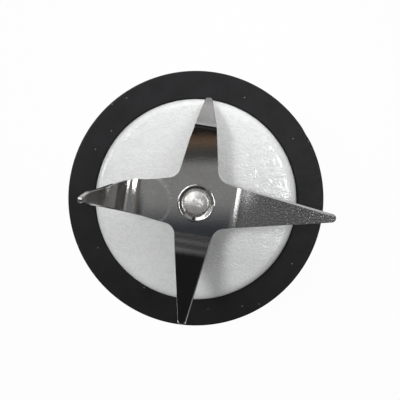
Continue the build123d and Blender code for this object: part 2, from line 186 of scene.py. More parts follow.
def blank_material(name):
    """Material whose tree is still empty, and that tree."""
    material = bpy.data.materials.new(name)
    material.use_nodes = True
    material.node_tree.nodes.clear()
    return material, material.node_tree


# %% [markdown]
# ## Floor and background
#
# The background is plain white, and the floor is the same white wherever the eye or a reflection meets
# it. A small part of the floor's light is still the light that falls on it, which keeps a faint shadow
# under the unit. From below the floor lets the view through, so the underside can be looked at.

# %% Find out how a ray looks at a surface
def seen_directly(tree):
    """Node that gives 1 for camera, glossy and transmission rays, and 0 for the light that bounces about."""
    ray = add_node(tree, "ShaderNodeLightPath").outputs
    camera_or_glossy = {0: ray["Is Camera Ray"], 1: ray["Is Glossy Ray"]}
    look = add_node(tree, "ShaderNodeMath", camera_or_glossy, operation="MAXIMUM")
    return add_node(tree, "ShaderNodeMath", {0: look, 1: ray["Is Transmission Ray"]}, operation="MAXIMUM")


# %% Make the background
AMBIENT = 0.29
WHITE = (1.0, 1.0, 1.0)

world = bpy.data.worlds.new("white_room")
bpy.context.scene.world = world
world.use_nodes = True
tree = world.node_tree
tree.nodes.clear()
room_light = add_node(tree, "ShaderNodeBackground", {"Color": WHITE, "Strength": AMBIENT})
white_wall = add_node(tree, "ShaderNodeBackground", {"Color": WHITE})
wall_or_light = add_node(tree, "ShaderNodeMixShader", {0: seen_directly(tree), 1: room_light, 2: white_wall})
add_node(tree, "ShaderNodeOutputWorld", {"Surface": wall_or_light})
print("ambient light", AMBIENT)

# %% Lay the floor
FLOOR_HALF = 2500.0
FLOOR_WHITE = (0.9, 0.9, 0.9)
FLOOR_OWN_LIGHT = 0.96

side = np.array([-FLOOR_HALF, FLOOR_HALF])
floor_x, floor_y = np.meshgrid(side, side, indexing="ij")
floor = surface_piece("floor", np.stack([floor_x, floor_y, np.zeros_like(floor_x)], axis=-1))
paper, tree = blank_material("white_paper")
lit_paper = add_node(tree, "ShaderNodeBsdfDiffuse", {"Color": FLOOR_WHITE})
white_paper = add_node(tree, "ShaderNodeEmission")
look_share = {0: seen_directly(tree), 1: FLOOR_OWN_LIGHT}
own_light = add_node(tree, "ShaderNodeMath", look_share, operation="MULTIPLY")
paper_mix = add_node(tree, "ShaderNodeMixShader", {0: own_light, 1: lit_paper, 2: white_paper})
underneath = add_node(tree, "ShaderNodeNewGeometry").outputs["Backfacing"]
see_through = add_node(tree, "ShaderNodeBsdfTransparent")
from_both = add_node(tree, "ShaderNodeMixShader", {0: underneath, 1: paper_mix, 2: see_through})
add_node(tree, "ShaderNodeOutputMaterial", {"Surface": from_both})
floor.data.materials.append(paper)
floor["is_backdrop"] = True
print("floor is", 2.0 * FLOOR_HALF * MM, "m wide")


# %% [markdown]
# ## The light tent
#
# Polished steel has hardly any look of its own: it shows what stands round it. Here that is a tent of
# glowing sheets, with a soft lamp on the left, two narrow lamps on the right, a dim sheet overhead and a
# bright opening behind. An image of a studio would do too, but sheets can be measured and moved one by
# one. Only reflections see them, and each fades out towards its border, as a lamp does when it is out of
# focus. Area lamps light the plain surfaces.

# %% Make a sheet of the tent
BLADE_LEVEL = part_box("rivet_washer")[0].z / MM


def fade(position, ends, borders):
    """1 between the two ends, falling to 0 at each end over that end's border."""
    rise = np.clip((position - ends[0]) / borders[0], 0.0, 1.0)
    return rise * np.clip((ends[1] - position) / borders[1], 0.0, 1.0)


def tent_sheet(name, points, cover, brightness, tint):
    """Glowing sheet that only reflections see. Its map holds the cover: 1 is solid and 0 is clear."""
    sheet = surface_piece(name, points, uv=np.stack([cover, cover], axis=-1))
    cloth, tree = blank_material(name)
    cover_value = add_node(tree, "ShaderNodeSeparateXYZ", {0: place_on(tree, "UV")})
    clear = add_node(tree, "ShaderNodeBsdfTransparent")
    glow = add_node(tree, "ShaderNodeEmission", {"Color": tint, "Strength": brightness})
    clear_or_glow = add_node(tree, "ShaderNodeMixShader", {0: cover_value, 1: clear, 2: glow})
    add_node(tree, "ShaderNodeOutputMaterial", {"Surface": clear_or_glow})
    sheet.data.materials.append(cloth)
    sheet.visible_camera = False
    sheet.visible_diffuse = False
    sheet.visible_shadow = False
    sheet.visible_transmission = False
    sheet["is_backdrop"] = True


# %% [markdown]
# Two kinds of sheet are enough. Flat sheets hang overhead, where the flat hub and the bends look. The
# lamps among them are turned with the blade, so that they lie square to its bends, and hang a little
# lower, so that they hide what is behind them. Parts of a large sphere stand round the unit as its walls,
# where the steep tips and the washer's slopes look.

# %% Hang the flat sheets overhead
OVERHEAD = 500.0
SHEET_STEPS = 61
BLADE_TURN = 9.2
TURNED = (0.0, -BLADE_TURN)
LAMP = (6.0, -BLADE_TURN)
THIN = (8.0, 8.0)
COOL, WARM, BROWN = (0.88, 0.95, 1.1), (1.0, 0.97, 0.95), (1.0, 0.66, 0.4)
PALE, TAN, CREAM = (0.97, 0.98, 1.0), (1.0, 0.8, 0.68), (1.0, 0.95, 0.88)


def overhead_sheet(name, x, y, brightness, tint, x_borders, y_borders, drop=0.0, turn=0.0):
    """Flat rectangle over the blade, from x to x and y to y in millimetres, turned by turn degrees."""
    sheet_x, sheet_y = np.meshgrid(np.linspace(*x, SHEET_STEPS), np.linspace(*y, SHEET_STEPS))
    cover = fade(sheet_x, x, x_borders) * fade(sheet_y, y, y_borders)
    cosine, sine = math.cos(math.radians(turn)), math.sin(math.radians(turn))
    height = np.full_like(sheet_x, BLADE_LEVEL + OVERHEAD - drop)
    turned_x = sheet_x * cosine - sheet_y * sine
    turned_y = sheet_x * sine + sheet_y * cosine
    tent_sheet(name, np.stack([turned_x, turned_y, height], axis=-1), cover, brightness, tint)


# Name, x, y, brightness, tint, borders along x and along y, then the drop and the turn where there are any
overhead_sheets = [
    ("grey_overhead", (-72.0, 106.0), (-62.0, 19.0), 0.27, WHITE, THIN, (30.0, 4.0), 4.0),
    ("dim_front", (-90.0, 120.0), (-330.0, -24.0), 0.05, COOL, THIN, THIN),
    ("dim_back", (-90.0, 90.0), (16.0, 42.0), 0.062, WARM, THIN, (2.0, 3.0)),
    ("brown_back", (-90.0, 90.0), (32.0, 49.0), 0.17, BROWN, THIN, (10.0, 4.0), 2.0),
    ("far_back", (-200.0, 200.0), (75.0, 420.0), 0.035, WHITE, THIN, (8.0, 90.0)),
    ("left_lamp", (-222.0, -62.0), (-46.0, 160.0), 2.2, WHITE, (84.0, 10.0), (22.0, 60.0), *LAMP),
    ("left_spark", (-226.0, -172.0), (76.0, 108.0), 7.0, WHITE, THIN, THIN, 8.0),
    ("left_glow", (-235.0, -58.0), (-240.0, -20.0), 0.09, WHITE, (40.0, 8.0), (60.0, 8.0), *TURNED),
    ("right_glow", (70.0, 480.0), (-170.0, 240.0), 0.19, PALE, (30.0, 20.0), (60.0, 60.0), *TURNED),
    ("brown_right", (88.0, 164.0), (-170.0, 30.0), 0.14, TAN, (25.0, 40.0), (60.0, 60.0), *LAMP),
    ("right_lamp", (182.0, 296.0), (-29.0, 190.0), 10.0, WHITE, (14.0, 14.0), (9.0, 30.0), *LAMP),
    ("far_right_lamp", (386.0, 472.0), (-40.0, 190.0), 5.0, WHITE, (14.0, 14.0), (9.0, 30.0), *LAMP),
    ("far_right_tail", (360.0, 480.0), (-140.0, -30.0), 0.3, CREAM, (30.0, 14.0), (50.0, 8.0), *LAMP),
]
for row in overhead_sheets:
    overhead_sheet(*row)

# %% [markdown]
# White ground all round would wash out the steep tips, so four dimmer sheets lie just over the floor, one
# on each side of the unit. They are the same flat sheets, let down nearly to the floor.

# %% Lay the dim ground
GROUND_RISE = 2.0
GROUND_DROP = OVERHEAD + BLADE_LEVEL - GROUND_RISE
WIDE = (90.0, 90.0)

ground_sheets = [
    ("right_ground", (37.0, 900.0), (-700.0, 500.0), 0.16, WHITE, THIN, WIDE),
    ("left_ground", (-900.0, -37.0), (-500.0, 500.0), 0.3, WHITE, THIN, WIDE),
    ("back_ground", (-260.0, 420.0), (120.0, 900.0), 0.53, WHITE, WIDE, (50.0, 8.0)),
    ("front_ground", (-300.0, 300.0), (-900.0, -52.0), 0.11, WHITE, WIDE, (90.0, 8.0)),
]
for row in ground_sheets:
    overhead_sheet(*row, GROUND_DROP)

# %% Put up the walls
WALL_RADIUS = 900.0
CEILING_RADIUS = 960.0
HIGH_WINDOW_RADIUS = 880.0
LOW_WINDOW_RADIUS = 870.0
FLOOR_LINE = 90.0 + math.degrees(math.asin((BLADE_LEVEL - GROUND_RISE) / WALL_RADIUS))
CEILING_END = FLOOR_LINE + 4.0
SOFT_ENDS = (8.0, 4.0, 4.0)
TO_FLOOR = (8.0, 4.0, 0.1)
WARM_WALL = (1.0, 0.97, 0.93)


def wall_sheet(name, azimuth, polar, brightness, tint=WHITE, borders=SOFT_ENDS, radius=WALL_RADIUS):
    """Part of a sphere round the blade: azimuth in degrees from +X to +Y, polar angle from straight up.

    The borders are those of both sides, the upper end and the lower end, in degrees.
    """
    turn, tilt = np.meshgrid(np.linspace(*azimuth, SHEET_STEPS), np.linspace(*polar, SHEET_STEPS))
    cover = fade(turn, azimuth, (borders[0], borders[0])) * fade(tilt, polar, borders[1:])
    out, up = np.sin(np.radians(tilt)), np.cos(np.radians(tilt))
    x, y = out * np.cos(np.radians(turn)), out * np.sin(np.radians(turn))
    centre = np.array([0.0, 0.0, BLADE_LEVEL])
    tent_sheet(name, centre + radius * np.stack([x, y, up], axis=-1), cover, brightness, tint)


# Name, azimuth, polar angle and brightness, then the tint, the borders and the radius where they differ
wall_sheets = [
    ("dim_ceiling", (-360.0, 720.0), (-20.0, CEILING_END), 0.013, WHITE, (8.0, 0.1, 0.1), CEILING_RADIUS),
    ("left_wall", (120.0, 245.0), (26.0, 70.0), 0.15),
    ("high_window", (112.0, 156.0), (33.0, 52.0), 7.0, WHITE, SOFT_ENDS, HIGH_WINDOW_RADIUS),
    ("low_window", (153.0, 169.0), (66.0, 87.0), 6.0, WHITE, (3.0, 3.0, 3.0), LOW_WINDOW_RADIUS),
    ("window", (85.0, 180.0), (46.0, FLOOR_LINE), 1.8),
    ("back_wall", (40.0, 96.0), (60.5, FLOOR_LINE), 0.53, WHITE, (8.0, 2.0, 0.1)),
    ("back_dim", (15.0, 77.0), (44.0, 68.0), 0.3),
    ("right_dim", (-60.0, 45.0), (42.0, 70.0), 0.065),
    ("right_wall", (-60.0, 45.0), (65.0, FLOOR_LINE), 0.19, WARM_WALL, TO_FLOOR),
    ("front_wall", (205.0, 305.0), (66.0, FLOOR_LINE), 0.2, WHITE, TO_FLOOR),
]
for row in wall_sheets:
    wall_sheet(*row)


# %% Hang the lamps
def soft_lamp(name, azimuth, polar, distance, width, watts):
    """Square area lamp in the walls' own angles, turned to the blade. Reflections don't see it."""
    turn, tilt = math.radians(azimuth), math.radians(polar)
    direction = Vector((math.sin(tilt) * math.cos(turn), math.sin(tilt) * math.sin(turn), math.cos(tilt)))
    data = bpy.data.lights.new(name, "AREA")
    data.size = width * MM
    data.energy = watts
    lamp = bpy.data.objects.new(name, data)
    lamp.location = direction * distance * MM + Vector((0.0, 0.0, BLADE_LEVEL * MM))
    lamp.rotation_euler = direction.to_track_quat("Z", "Y").to_euler()
    lamp.visible_glossy = False
    lamp.visible_camera = False
    bpy.context.scene.collection.objects.link(lamp)
    print(f"{name}: {watts} W")


soft_lamp("key_lamp", azimuth=160.0, polar=31.0, distance=500.0, width=130.0, watts=1.04)
soft_lamp("back_lamp", azimuth=66.0, polar=64.0, distance=80.0, width=60.0, watts=0.033)


# %% [markdown]
# ## A small kit for finishes
#
# A finish is a shader and a few patterns that change its colour, roughness and relief from place to
# place. A few short helpers cover them all. Patterns read the object's own coordinates or its own map, so
# they stay put when a piece turns, and what is the same all over is set on the shader itself.

# %% Start a finish and put it on a piece
def new_finish(name, roughness, metallic=0.0, **sockets):
    """Node material with one shader: returns the material, its tree and the shader."""
    material = bpy.data.materials.new(name)
    material.use_nodes = True
    shader = material.node_tree.nodes["Principled BSDF"]
    for socket, value in {"Roughness": roughness, "Metallic": metallic, **sockets}.items():
        shader.inputs[socket.replace("_", " ")].default_value = value
    print("finish:", name)
    return material, material.node_tree, shader


def wire(tree, shader, colour, roughness):
    """Leads one pattern to the shader's colour and another to its roughness."""
    tree.links.new(colour, shader.inputs["Base Color"])
    tree.links.new(roughness, shader.inputs["Roughness"])


def dress(piece, body, finishes, node=None):
    """Gives a piece its finishes, the body it rides on, and the node it replaces, if any."""
    for finish in finishes:
        piece.data.materials.append(finish)
    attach(piece, body)
    if node:
        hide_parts(node)


# %% Make and join patterns
EVEN = (1.0, 1.0, 1.0)
FIRST_COLOUR, SECOND_COLOUR, MIXED_COLOUR = 6, 7, 2


def grain(tree, size, detail=2.0, stretch=EVEN, source="Object", shift=0.0, twist=0.0):
    """Noise from 0 to 1 with blotches of size millimetres, drawn out by stretch along x, y and z."""
    scale = [1.0 / (size * MM * s) for s in stretch]
    moved = {"Vector": place_on(tree, source), "Location": (shift, shift, shift), "Scale": scale}
    place = add_node(tree, "ShaderNodeMapping", moved)
    noise = {"Vector": place, "Scale": 1.0, "Detail": detail, "Distortion": twist}
    return add_node(tree, "ShaderNodeTexNoise", noise).outputs["Fac"]


def times(tree, first, second):
    """Product of two patterns."""
    return add_node(tree, "ShaderNodeMath", {0: first, 1: second}, operation="MULTIPLY").outputs[0]


def plus(tree, first, second):
    """Sum of two patterns."""
    return add_node(tree, "ShaderNodeMath", {0: first, 1: second}, operation="ADD").outputs[0]


def distance_from(tree, centre, source="Object"):
    """How far a place lies from a centre, in the source's own unit."""
    ends = {0: place_on(tree, source), 1: centre}
    return add_node(tree, "ShaderNodeVectorMath", ends, operation="DISTANCE").outputs["Value"]


def spread(tree, pattern, low, high, start=0.3, end=0.7):
    """Pattern values from start to end become numbers from low to high."""
    limits = {"From Min": start, "From Max": end, "To Min": low, "To Max": high}
    return add_node(tree, "ShaderNodeMapRange", {"Value": pattern, **limits}).outputs["Result"]


def blend_colours(tree, pattern, first, second):
    """Colour that goes from first, where the pattern is 0, to second, where it is 1.

    A Mix node has sockets for numbers, vectors and colours, so the colours' are picked by their places.
    """
    ends = {0: pattern, FIRST_COLOUR: first, SECOND_COLOUR: second}
    return add_node(tree, "ShaderNodeMix", ends, data_type="RGBA").outputs[MIXED_COLOUR]


def relief(tree, shader, pattern, depth, over=None):
    """Bumps of depth millimetres where the pattern is high, laid over an earlier relief if one is given."""
    heights = {"Height": pattern, "Distance": depth * MM, "Strength": 1.0}
    if over is not None:
        heights["Normal"] = over
    bump = add_node(tree, "ShaderNodeBump", heights).outputs[0]
    tree.links.new(bump, shader.inputs["Normal"])
    return bump


# %% [markdown]
# ## Turned shapes
#
# Most of the unit is round, so most pieces are one outline carried round the axis. The outline is a list
# of corners with a rounding for each. A moulding or a turning has no perfectly sharp edge, and the thin
# line of light along a rounded edge is what makes a piece look solid. Just beside each rounding a point
# holds the flat in place, so that the flat shades as a flat.

# %% Round an outline
ARC_STEPS = 6
HOLD = 0.06


def rounded_outline(corners, radii, arc_steps=ARC_STEPS, edge_steps=2):
    """Closed outline with each corner replaced by an arc.

    The arc's centre lies on the line that halves the corner, at radius / sin(half the corner's angle), and
    the arc meets both edges squarely. Each edge then gets edge_steps points between the two arcs, the
    first and the last a hold away from them. The result is indexed by corner, then by point along arc
    and edge.
    """
    corner = np.asarray(corners, float)
    radius = np.broadcast_to(np.asarray(radii, float), len(corner))[:, None]
    to_last = np.roll(corner, 1, axis=0) - corner
    to_next = np.roll(corner, -1, axis=0) - corner
    to_last /= np.linalg.norm(to_last, axis=1, keepdims=True)
    to_next /= np.linalg.norm(to_next, axis=1, keepdims=True)
    half = 0.5 * np.arccos(np.clip(np.sum(to_last * to_next, axis=1, keepdims=True), -1.0, 1.0))
    inward = (to_last + to_next) / (2.0 * np.cos(half))
    sideways = (to_last - np.cos(half) * inward) / np.sin(half)
    centre = corner + inward * radius / np.sin(half)
    swing = ((np.pi / 2.0 - half) * np.linspace(-1.0, 1.0, arc_steps + 1))[..., None]
    spoke = np.cos(swing) * inward[:, None] + np.sin(swing) * sideways[:, None]
    arc = centre[:, None] - radius[:, None] * spoke
    edge_start = arc[:, -1]
    edge = np.roll(arc[:, 0], -1, axis=0) - edge_start
    length = np.linalg.norm(edge, axis=1, keepdims=True)
    margin = np.minimum(HOLD / length, 1.0 / 3.0)
    share = margin + (1.0 - 2.0 * margin) * np.linspace(0.0, 1.0, edge_steps)
    straight = edge_start[:, None] + share[..., None] * edge[:, None]
    return np.concatenate([arc, straight], axis=1)


# %% Carry an outline round the axis
RING_STEPS = 192


def turned_surface(outline, steps):
    """Outline of (radius, height) points carried round Z: x = r cos(turn), y = r sin(turn)."""
    turn = np.linspace(0.0, 2.0 * np.pi, steps + 1)[:, None]
    r, z = outline[:, 0], outline[:, 1]
    return np.stack([r * np.cos(turn), r * np.sin(turn), z + 0.0 * turn], axis=-1)


def turned_ring(corners, steps=RING_STEPS):
    """Ring-shaped turned surface from rows of radius, height and rounding: its outline closes on itself."""
    table = np.array(corners)
    outline = rounded_outline(table[:, :2], table[:, 2]).reshape(-1, 2)
    return turned_surface(np.vstack([outline, outline[:1]]), steps)


def turned_extent(node):
    """Bore, radius, underside and top of a turned node in millimetres, from its own vertices."""
    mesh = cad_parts[node].data
    flat = np.empty(3 * len(mesh.vertices), np.float32)
    mesh.vertices.foreach_get("co", flat)
    x, y, z = flat.reshape(-1, 3).astype(float).T / MM
    r = np.hypot(x, y)
    return r.min(), r.max(), z.min(), z.max()


# %% [markdown]
# ## White base
#
# The base is one moulding in white plastic: a foot with a deep bore, a flange that the jar's collar pulls
# up, and a shallow dome inside the gasket. It is one outline carried round the axis, and the eight ribs
# under the dome are a small rounded section carried outwards from the foot. The dome rises to the middle
# as a parabola and falls off over a soft shoulder at its rim.

# %% Measure the base
_, FLANGE_RADIUS, _, BOSS_TOP = turned_extent("base_body")
_, SLEEVE_RADIUS, SLEEVE_UNDER, SLEEVE_TOP = turned_extent("bearing_sleeve")
_, SEAL_RADIUS, _, _ = turned_extent("shaft_seal")
_, GASKET_RADIUS, FLANGE_TOP, GASKET_TOP = turned_extent("sealing_gasket")
FLANGE_THICKNESS = 3.0
DOME_RADIUS = 27.3
DOME_RIM_RISE = 3.2
DOME_CROWN_RISE = 0.8
DOME_WALL = 2.8
CROWN_STEPS = 9
SHOULDER_RADIUS = 24.7
SHOULDER_SLOPE = 0.25
POCKET_RADIUS = 24.0
BOSS_RADIUS = 14.5
BOSS_ROOT_RADIUS = 15.3
RECESS_RADIUS = 11.5
SEAL_BOSS_RADIUS = 8.0

flange_under = FLANGE_TOP - FLANGE_THICKNESS
dome_rim = GASKET_TOP + DOME_RIM_RISE
dome_crown = dome_rim + DOME_CROWN_RISE
pocket_roof = dome_rim - DOME_WALL
print("base: foot to boss", BOSS_TOP, "mm high")

# %% Mould the base
MOULD_EDGE = 0.4
FINE_EDGE = 0.15
SEAT_EDGE = 0.05
FOOT_EDGE = 0.6
POCKET_EDGE = 0.8
DOME_EDGE = 3.0
SHOULDER_ROUNDING = 8.0
CROWN_EDGE = 0.5
BOSS_EDGE = 0.3
BASE_STEPS = 288


def crown_height(r):
    """Dome's height at a radius: from rim to seal boss it rises as 1 - (1 - share of the way)^2."""
    share = (DOME_RADIUS - r) / (DOME_RADIUS - SEAL_BOSS_RADIUS)
    return dome_rim + DOME_CROWN_RISE * (1.0 - (1.0 - share) ** 2)


shoulder_z = crown_height(SHOULDER_RADIUS)
crown_r = np.linspace(DOME_RADIUS, SEAL_BOSS_RADIUS, CROWN_STEPS)[2:-1]
base_corners = [
    (RECESS_RADIUS, 0.0, FOOT_EDGE),
    (BOSS_RADIUS, 0.0, FOOT_EDGE),
    (BOSS_RADIUS, flange_under, MOULD_EDGE),
    (BOSS_ROOT_RADIUS, flange_under, MOULD_EDGE),
    (BOSS_ROOT_RADIUS, pocket_roof, POCKET_EDGE),
    (POCKET_RADIUS, pocket_roof, POCKET_EDGE),
    (POCKET_RADIUS, flange_under, MOULD_EDGE),
    (FLANGE_RADIUS, flange_under, FOOT_EDGE),
    (FLANGE_RADIUS, FLANGE_TOP, FOOT_EDGE),
    (DOME_RADIUS, FLANGE_TOP, FINE_EDGE),
    (DOME_RADIUS, shoulder_z - SHOULDER_SLOPE * (DOME_RADIUS - SHOULDER_RADIUS), DOME_EDGE),
    (SHOULDER_RADIUS, shoulder_z, SHOULDER_ROUNDING),
    *zip(crown_r, crown_height(crown_r), np.full_like(crown_r, CROWN_EDGE)),
    (SEAL_BOSS_RADIUS, dome_crown, POCKET_EDGE),
    (SEAL_BOSS_RADIUS, BOSS_TOP, BOSS_EDGE),
    (SEAL_RADIUS, BOSS_TOP, FINE_EDGE),
    (SEAL_RADIUS, SLEEVE_TOP, SEAT_EDGE),
    (SLEEVE_RADIUS, SLEEVE_TOP, SEAT_EDGE),
    (SLEEVE_RADIUS, SLEEVE_UNDER, SEAT_EDGE),
    (RECESS_RADIUS, SLEEVE_UNDER, MOULD_EDGE),
]
base_moulding = surface_piece("base_moulding", turned_ring(base_corners, BASE_STEPS))

# %% Mould the ribs
RIB_COUNT = 8
RIB_THICKNESS = 1.8
RIB_SETBACK = 1.0
RIB_SINK = 0.6

rib_half = RIB_THICKNESS / 2.0
rib_low = flange_under + RIB_SETBACK
rib_high = pocket_roof + RIB_SINK
rib_section = [(-rib_half, rib_low), (rib_half, rib_low), (rib_half, rib_high), (-rib_half, rib_high)]
section = rounded_outline(rib_section, MOULD_EDGE).reshape(-1, 2)
section = np.vstack([section, section[:1]])
middle = section[:-1].mean(axis=0)
station = np.array([BOSS_ROOT_RADIUS, BOSS_ROOT_RADIUS, POCKET_RADIUS, POCKET_RADIUS])
station += RIB_SINK * np.array([-1.0, -1.0, 1.0, 1.0])
size_there = np.array([0.0, 1.0, 1.0, 0.0])[:, None, None]
across, height = np.moveaxis(middle + size_there * (section - middle), -1, 0)
along = station[:, None] + 0.0 * across
rib_turn = np.radians(180.0 / RIB_COUNT + 360.0 / RIB_COUNT * np.arange(RIB_COUNT))[:, None, None]
rib_x = along * np.cos(rib_turn) - across * np.sin(rib_turn)
rib_y = along * np.sin(rib_turn) + across * np.cos(rib_turn)
base_ribs = surface_piece("base_ribs", np.stack([rib_x, rib_y, height + 0.0 * rib_x], axis=-1))

# %% [markdown]
# The plastic is a bright white with a slight gloss. The mould was etched, so the skin has a fine
# wandering grain like leather: a noise that is twisted by itself gives such lines, where the pattern
# crosses its middle value. The lines are a real relief, and they are also painted lighter than the
# plastic as a painted sheen of that relief. Four spots at the rim are worn smooth, where a narrow light
# can show.

# %% Finish the base
LEATHER_SIZE = 1.5
LEATHER_STRETCH = (1.5, 1.0, 1.0)
LEATHER_TWIST = 1.4
CREASE_FROM, CREASE_MIDDLE, CREASE_TO = 0.34, 0.5, 0.66
CREASE_DEPTH = 0.05
# Painted sheen: the creases are painted lighter than the plastic, standing in for the light their relief
# catches
CREASE_SHEEN_WHITE = (0.875, 0.882, 0.88)
WORN_SPOTS = ((-20.5, 13.3), (-24.4, 8.4), (23.9, 4.4), (22.3, 10.4))
WORN_RADIUS = 2.2
FINE_SIZE = 0.6
FINE_DEPTH = 0.006
PLASTIC_WHITES = ((0.80, 0.809, 0.807), (0.825, 0.833, 0.831))
PLASTIC_ROUGHNESS = (0.06, 0.11)

white_plastic, tree, shader = new_finish("white_plastic", roughness=0.1, Specular_IOR_Level=0.5)
leather = grain(tree, LEATHER_SIZE, detail=1.0, stretch=LEATHER_STRETCH, twist=LEATHER_TWIST)
crease_rise = spread(tree, leather, 0.0, 1.0, CREASE_FROM, CREASE_MIDDLE)
creases_and_sheen = times(tree, crease_rise, spread(tree, leather, 1.0, 0.0, CREASE_MIDDLE, CREASE_TO))
for spot in WORN_SPOTS:
    from_spot = distance_from(tree, [v * MM for v in (*spot, dome_rim)])
    left_over = spread(tree, from_spot, 0.0, 1.0, 0.5 * WORN_RADIUS * MM, WORN_RADIUS * MM)
    creases_and_sheen = times(tree, creases_and_sheen, left_over)
fine = spread(tree, grain(tree, FINE_SIZE, shift=4.0), 0.0, 1.0)
plastic = blend_colours(tree, fine, *PLASTIC_WHITES)
# Painted sheen: the creases' lighter colour is laid over the plastic here
plastic_with_painted_sheen = blend_colours(tree, creases_and_sheen, plastic, CREASE_SHEEN_WHITE)
wire(tree, shader, plastic_with_painted_sheen, spread(tree, fine, *PLASTIC_ROUGHNESS, 0.0, 1.0))
etched = relief(tree, shader, creases_and_sheen, CREASE_DEPTH)
relief(tree, shader, fine, FINE_DEPTH, over=etched)
dress(base_moulding, "base", [white_plastic], "base_body")
dress(base_ribs, "base", [white_plastic])


# %% [markdown]
# ## Gasket
#
# A flat ring of black rubber lies on the flange round the dome. It is a plain rounded section carried
# round the axis. The used ring has one small nick in its outer edge, which is pressed into the points:
# where a point is near the nick's middle it moves inwards, and the move fades out like a bell curve.

# %% Cut the gasket
GASKET_WIDTH = 7.5
GASKET_EDGE = 0.45
GASKET_STEPS = 384
NICK_TURN = math.radians(31.0)
NICK_LENGTH = 1.3
NICK_DEPTH = 0.15

gasket_bore = GASKET_RADIUS - GASKET_WIDTH
gasket_corners = [
    (gasket_bore, FLANGE_TOP, GASKET_EDGE),
    (GASKET_RADIUS, FLANGE_TOP, GASKET_EDGE),
    (GASKET_RADIUS, GASKET_TOP, GASKET_EDGE),
    (gasket_bore, GASKET_TOP, GASKET_EDGE),
]
gasket_points = turned_ring(gasket_corners, GASKET_STEPS)
nick_middle = np.array([math.cos(NICK_TURN), math.sin(NICK_TURN)]) * GASKET_RADIUS
away = np.linalg.norm(gasket_points[..., :2] - nick_middle, axis=-1) / NICK_LENGTH
upper = np.clip((gasket_points[..., 2] - FLANGE_TOP) / (GASKET_TOP - FLANGE_TOP), 0.0, 1.0)
dent = NICK_DEPTH * np.exp(-away**2) * upper
gasket_points[..., :2] -= dent[..., None] * gasket_points[..., :2] / GASKET_RADIUS
gasket_ring = surface_piece("gasket_ring", gasket_points)

# %% [markdown]
# Rubber is dark and satin, with a fine moulded grain and the odd speck of pale dust. The specks are the
# middles of a few cells of a cell pattern: most cells are skipped, and in the rest a small round spot
# shows.

# %% Finish the gasket
DUST_CELL = 4.5
DUST_SPOT = 0.042
DUST_SKIP = 0.72
DUST_GREY = (0.24, 0.24, 0.24)
SKIP_BORDER = 0.02
CLOUD_SIZE = 6.0
SATIN_SIZE = 1.2
RUBBER_GRAIN = 0.22
RUBBER_DEPTH = 0.01
RUBBER_BLACKS = ((0.008, 0.008, 0.0092), (0.0135, 0.013, 0.015))
RUBBER_ROUGHNESS = (0.42, 0.6)


def dust(tree, cell, spot, skip):
    """1 on small round specks, 0 elsewhere: the middle of each cell whose random colour passes skip."""
    pattern = {"Vector": place_on(tree), "Scale": 1.0 / (cell * MM)}
    cells = add_node(tree, "ShaderNodeTexVoronoi", pattern, voronoi_dimensions="2D")
    chance = add_node(tree, "ShaderNodeSeparateColor", {0: cells.outputs["Color"]})
    chosen = spread(tree, chance, 0.0, 1.0, skip, skip + SKIP_BORDER)
    return times(tree, chosen, spread(tree, cells.outputs["Distance"], 1.0, 0.0, 0.5 * spot, spot))


black_rubber, tree, shader = new_finish("black_rubber", roughness=0.5, Specular_IOR_Level=0.25)
cloud = spread(tree, grain(tree, CLOUD_SIZE, detail=4.0), 0.0, 1.0)
speck = dust(tree, DUST_CELL, DUST_SPOT, DUST_SKIP)
dusty = blend_colours(tree, speck, blend_colours(tree, cloud, *RUBBER_BLACKS), DUST_GREY)
wire(tree, shader, dusty, spread(tree, grain(tree, SATIN_SIZE), *RUBBER_ROUGHNESS))
relief(tree, shader, grain(tree, RUBBER_GRAIN), RUBBER_DEPTH)
dress(gasket_ring, "base", [black_rubber], "sealing_gasket")


# %% [markdown]
# ## Blade
#
# The blade is one stamped sheet. Two long arms and two short arms cross at a hub, each arm tapers from
# the hub to a narrow tip, and a press then bends each arm by its own angle. The same order works here:
# first the outline on the flat sheet, then a grid that fills it, and last the bend, which moves the whole
# grid at once. A box model with bevels could give the outline, but not arcs that stay smooth through the
# bend.

# %% Lay out the four arms on the flat sheet
# Each list has the right, top, left and bottom arm, seen along the arm's own axis
ARMS = 4
RIGHT, TOP, LEFT, BOTTOM = range(ARMS)
HEADING = np.radians(np.array([0.0, 90.0, 180.0, 270.0]) - BLADE_TURN)
PLAIN_HUB = np.array([7.3, 5.9, 7.3, 5.9])
GROUND_HUB = np.array([6.85, 6.5, 6.85, 6.5])
TIP_SWEEP = np.array([1.35, 0.1, 1.35, 0.1])
TIP_WIDTH = np.array([1.7, 1.8, 1.7, 1.8])
BEND_START = np.array([8.7, 18.5, 12.6, 9.18])
BEND_RADIUS = np.array([8.0, 2.0, 11.3, 5.0])
BEND_ANGLE = np.radians(np.array([24.0, -43.5, 76.0, 33.0]))
TIP_LENGTH = np.array([22.3, 10.4, 6.7, 18.52])

bend_end = BEND_START + BEND_RADIUS * np.abs(BEND_ANGLE)
arm_length = bend_end + TIP_LENGTH
plain_slope = -(TIP_SWEEP + PLAIN_HUB) / arm_length
ground_slope = (TIP_SWEEP + TIP_WIDTH - GROUND_HUB) / arm_length
print("arms along the sheet, mm:", np.round(arm_length, 2))


# %% Draw the outline
HUB_CORNER = 3.0
TIP_CORNER = 0.95
BLADE_ARC = 24
BLADE_EDGE = 400


def to_plan(arm, s, side):
    """Plan point at s along an arm's axis and at side across it, counter-clockwise positive."""
    cosine, sine = np.cos(HEADING[arm]), np.sin(HEADING[arm])
    return np.stack([s * cosine - side * sine, s * sine + side * cosine], axis=-1)


def to_arm(arm, plan):
    """Along and across distances of plan points on an arm: the turn of to_plan undone."""
    cosine, sine = np.cos(HEADING[arm]), np.sin(HEADING[arm])
    x, y = plan[..., 0], plan[..., 1]
    return x * cosine + y * sine, y * cosine - x * sine


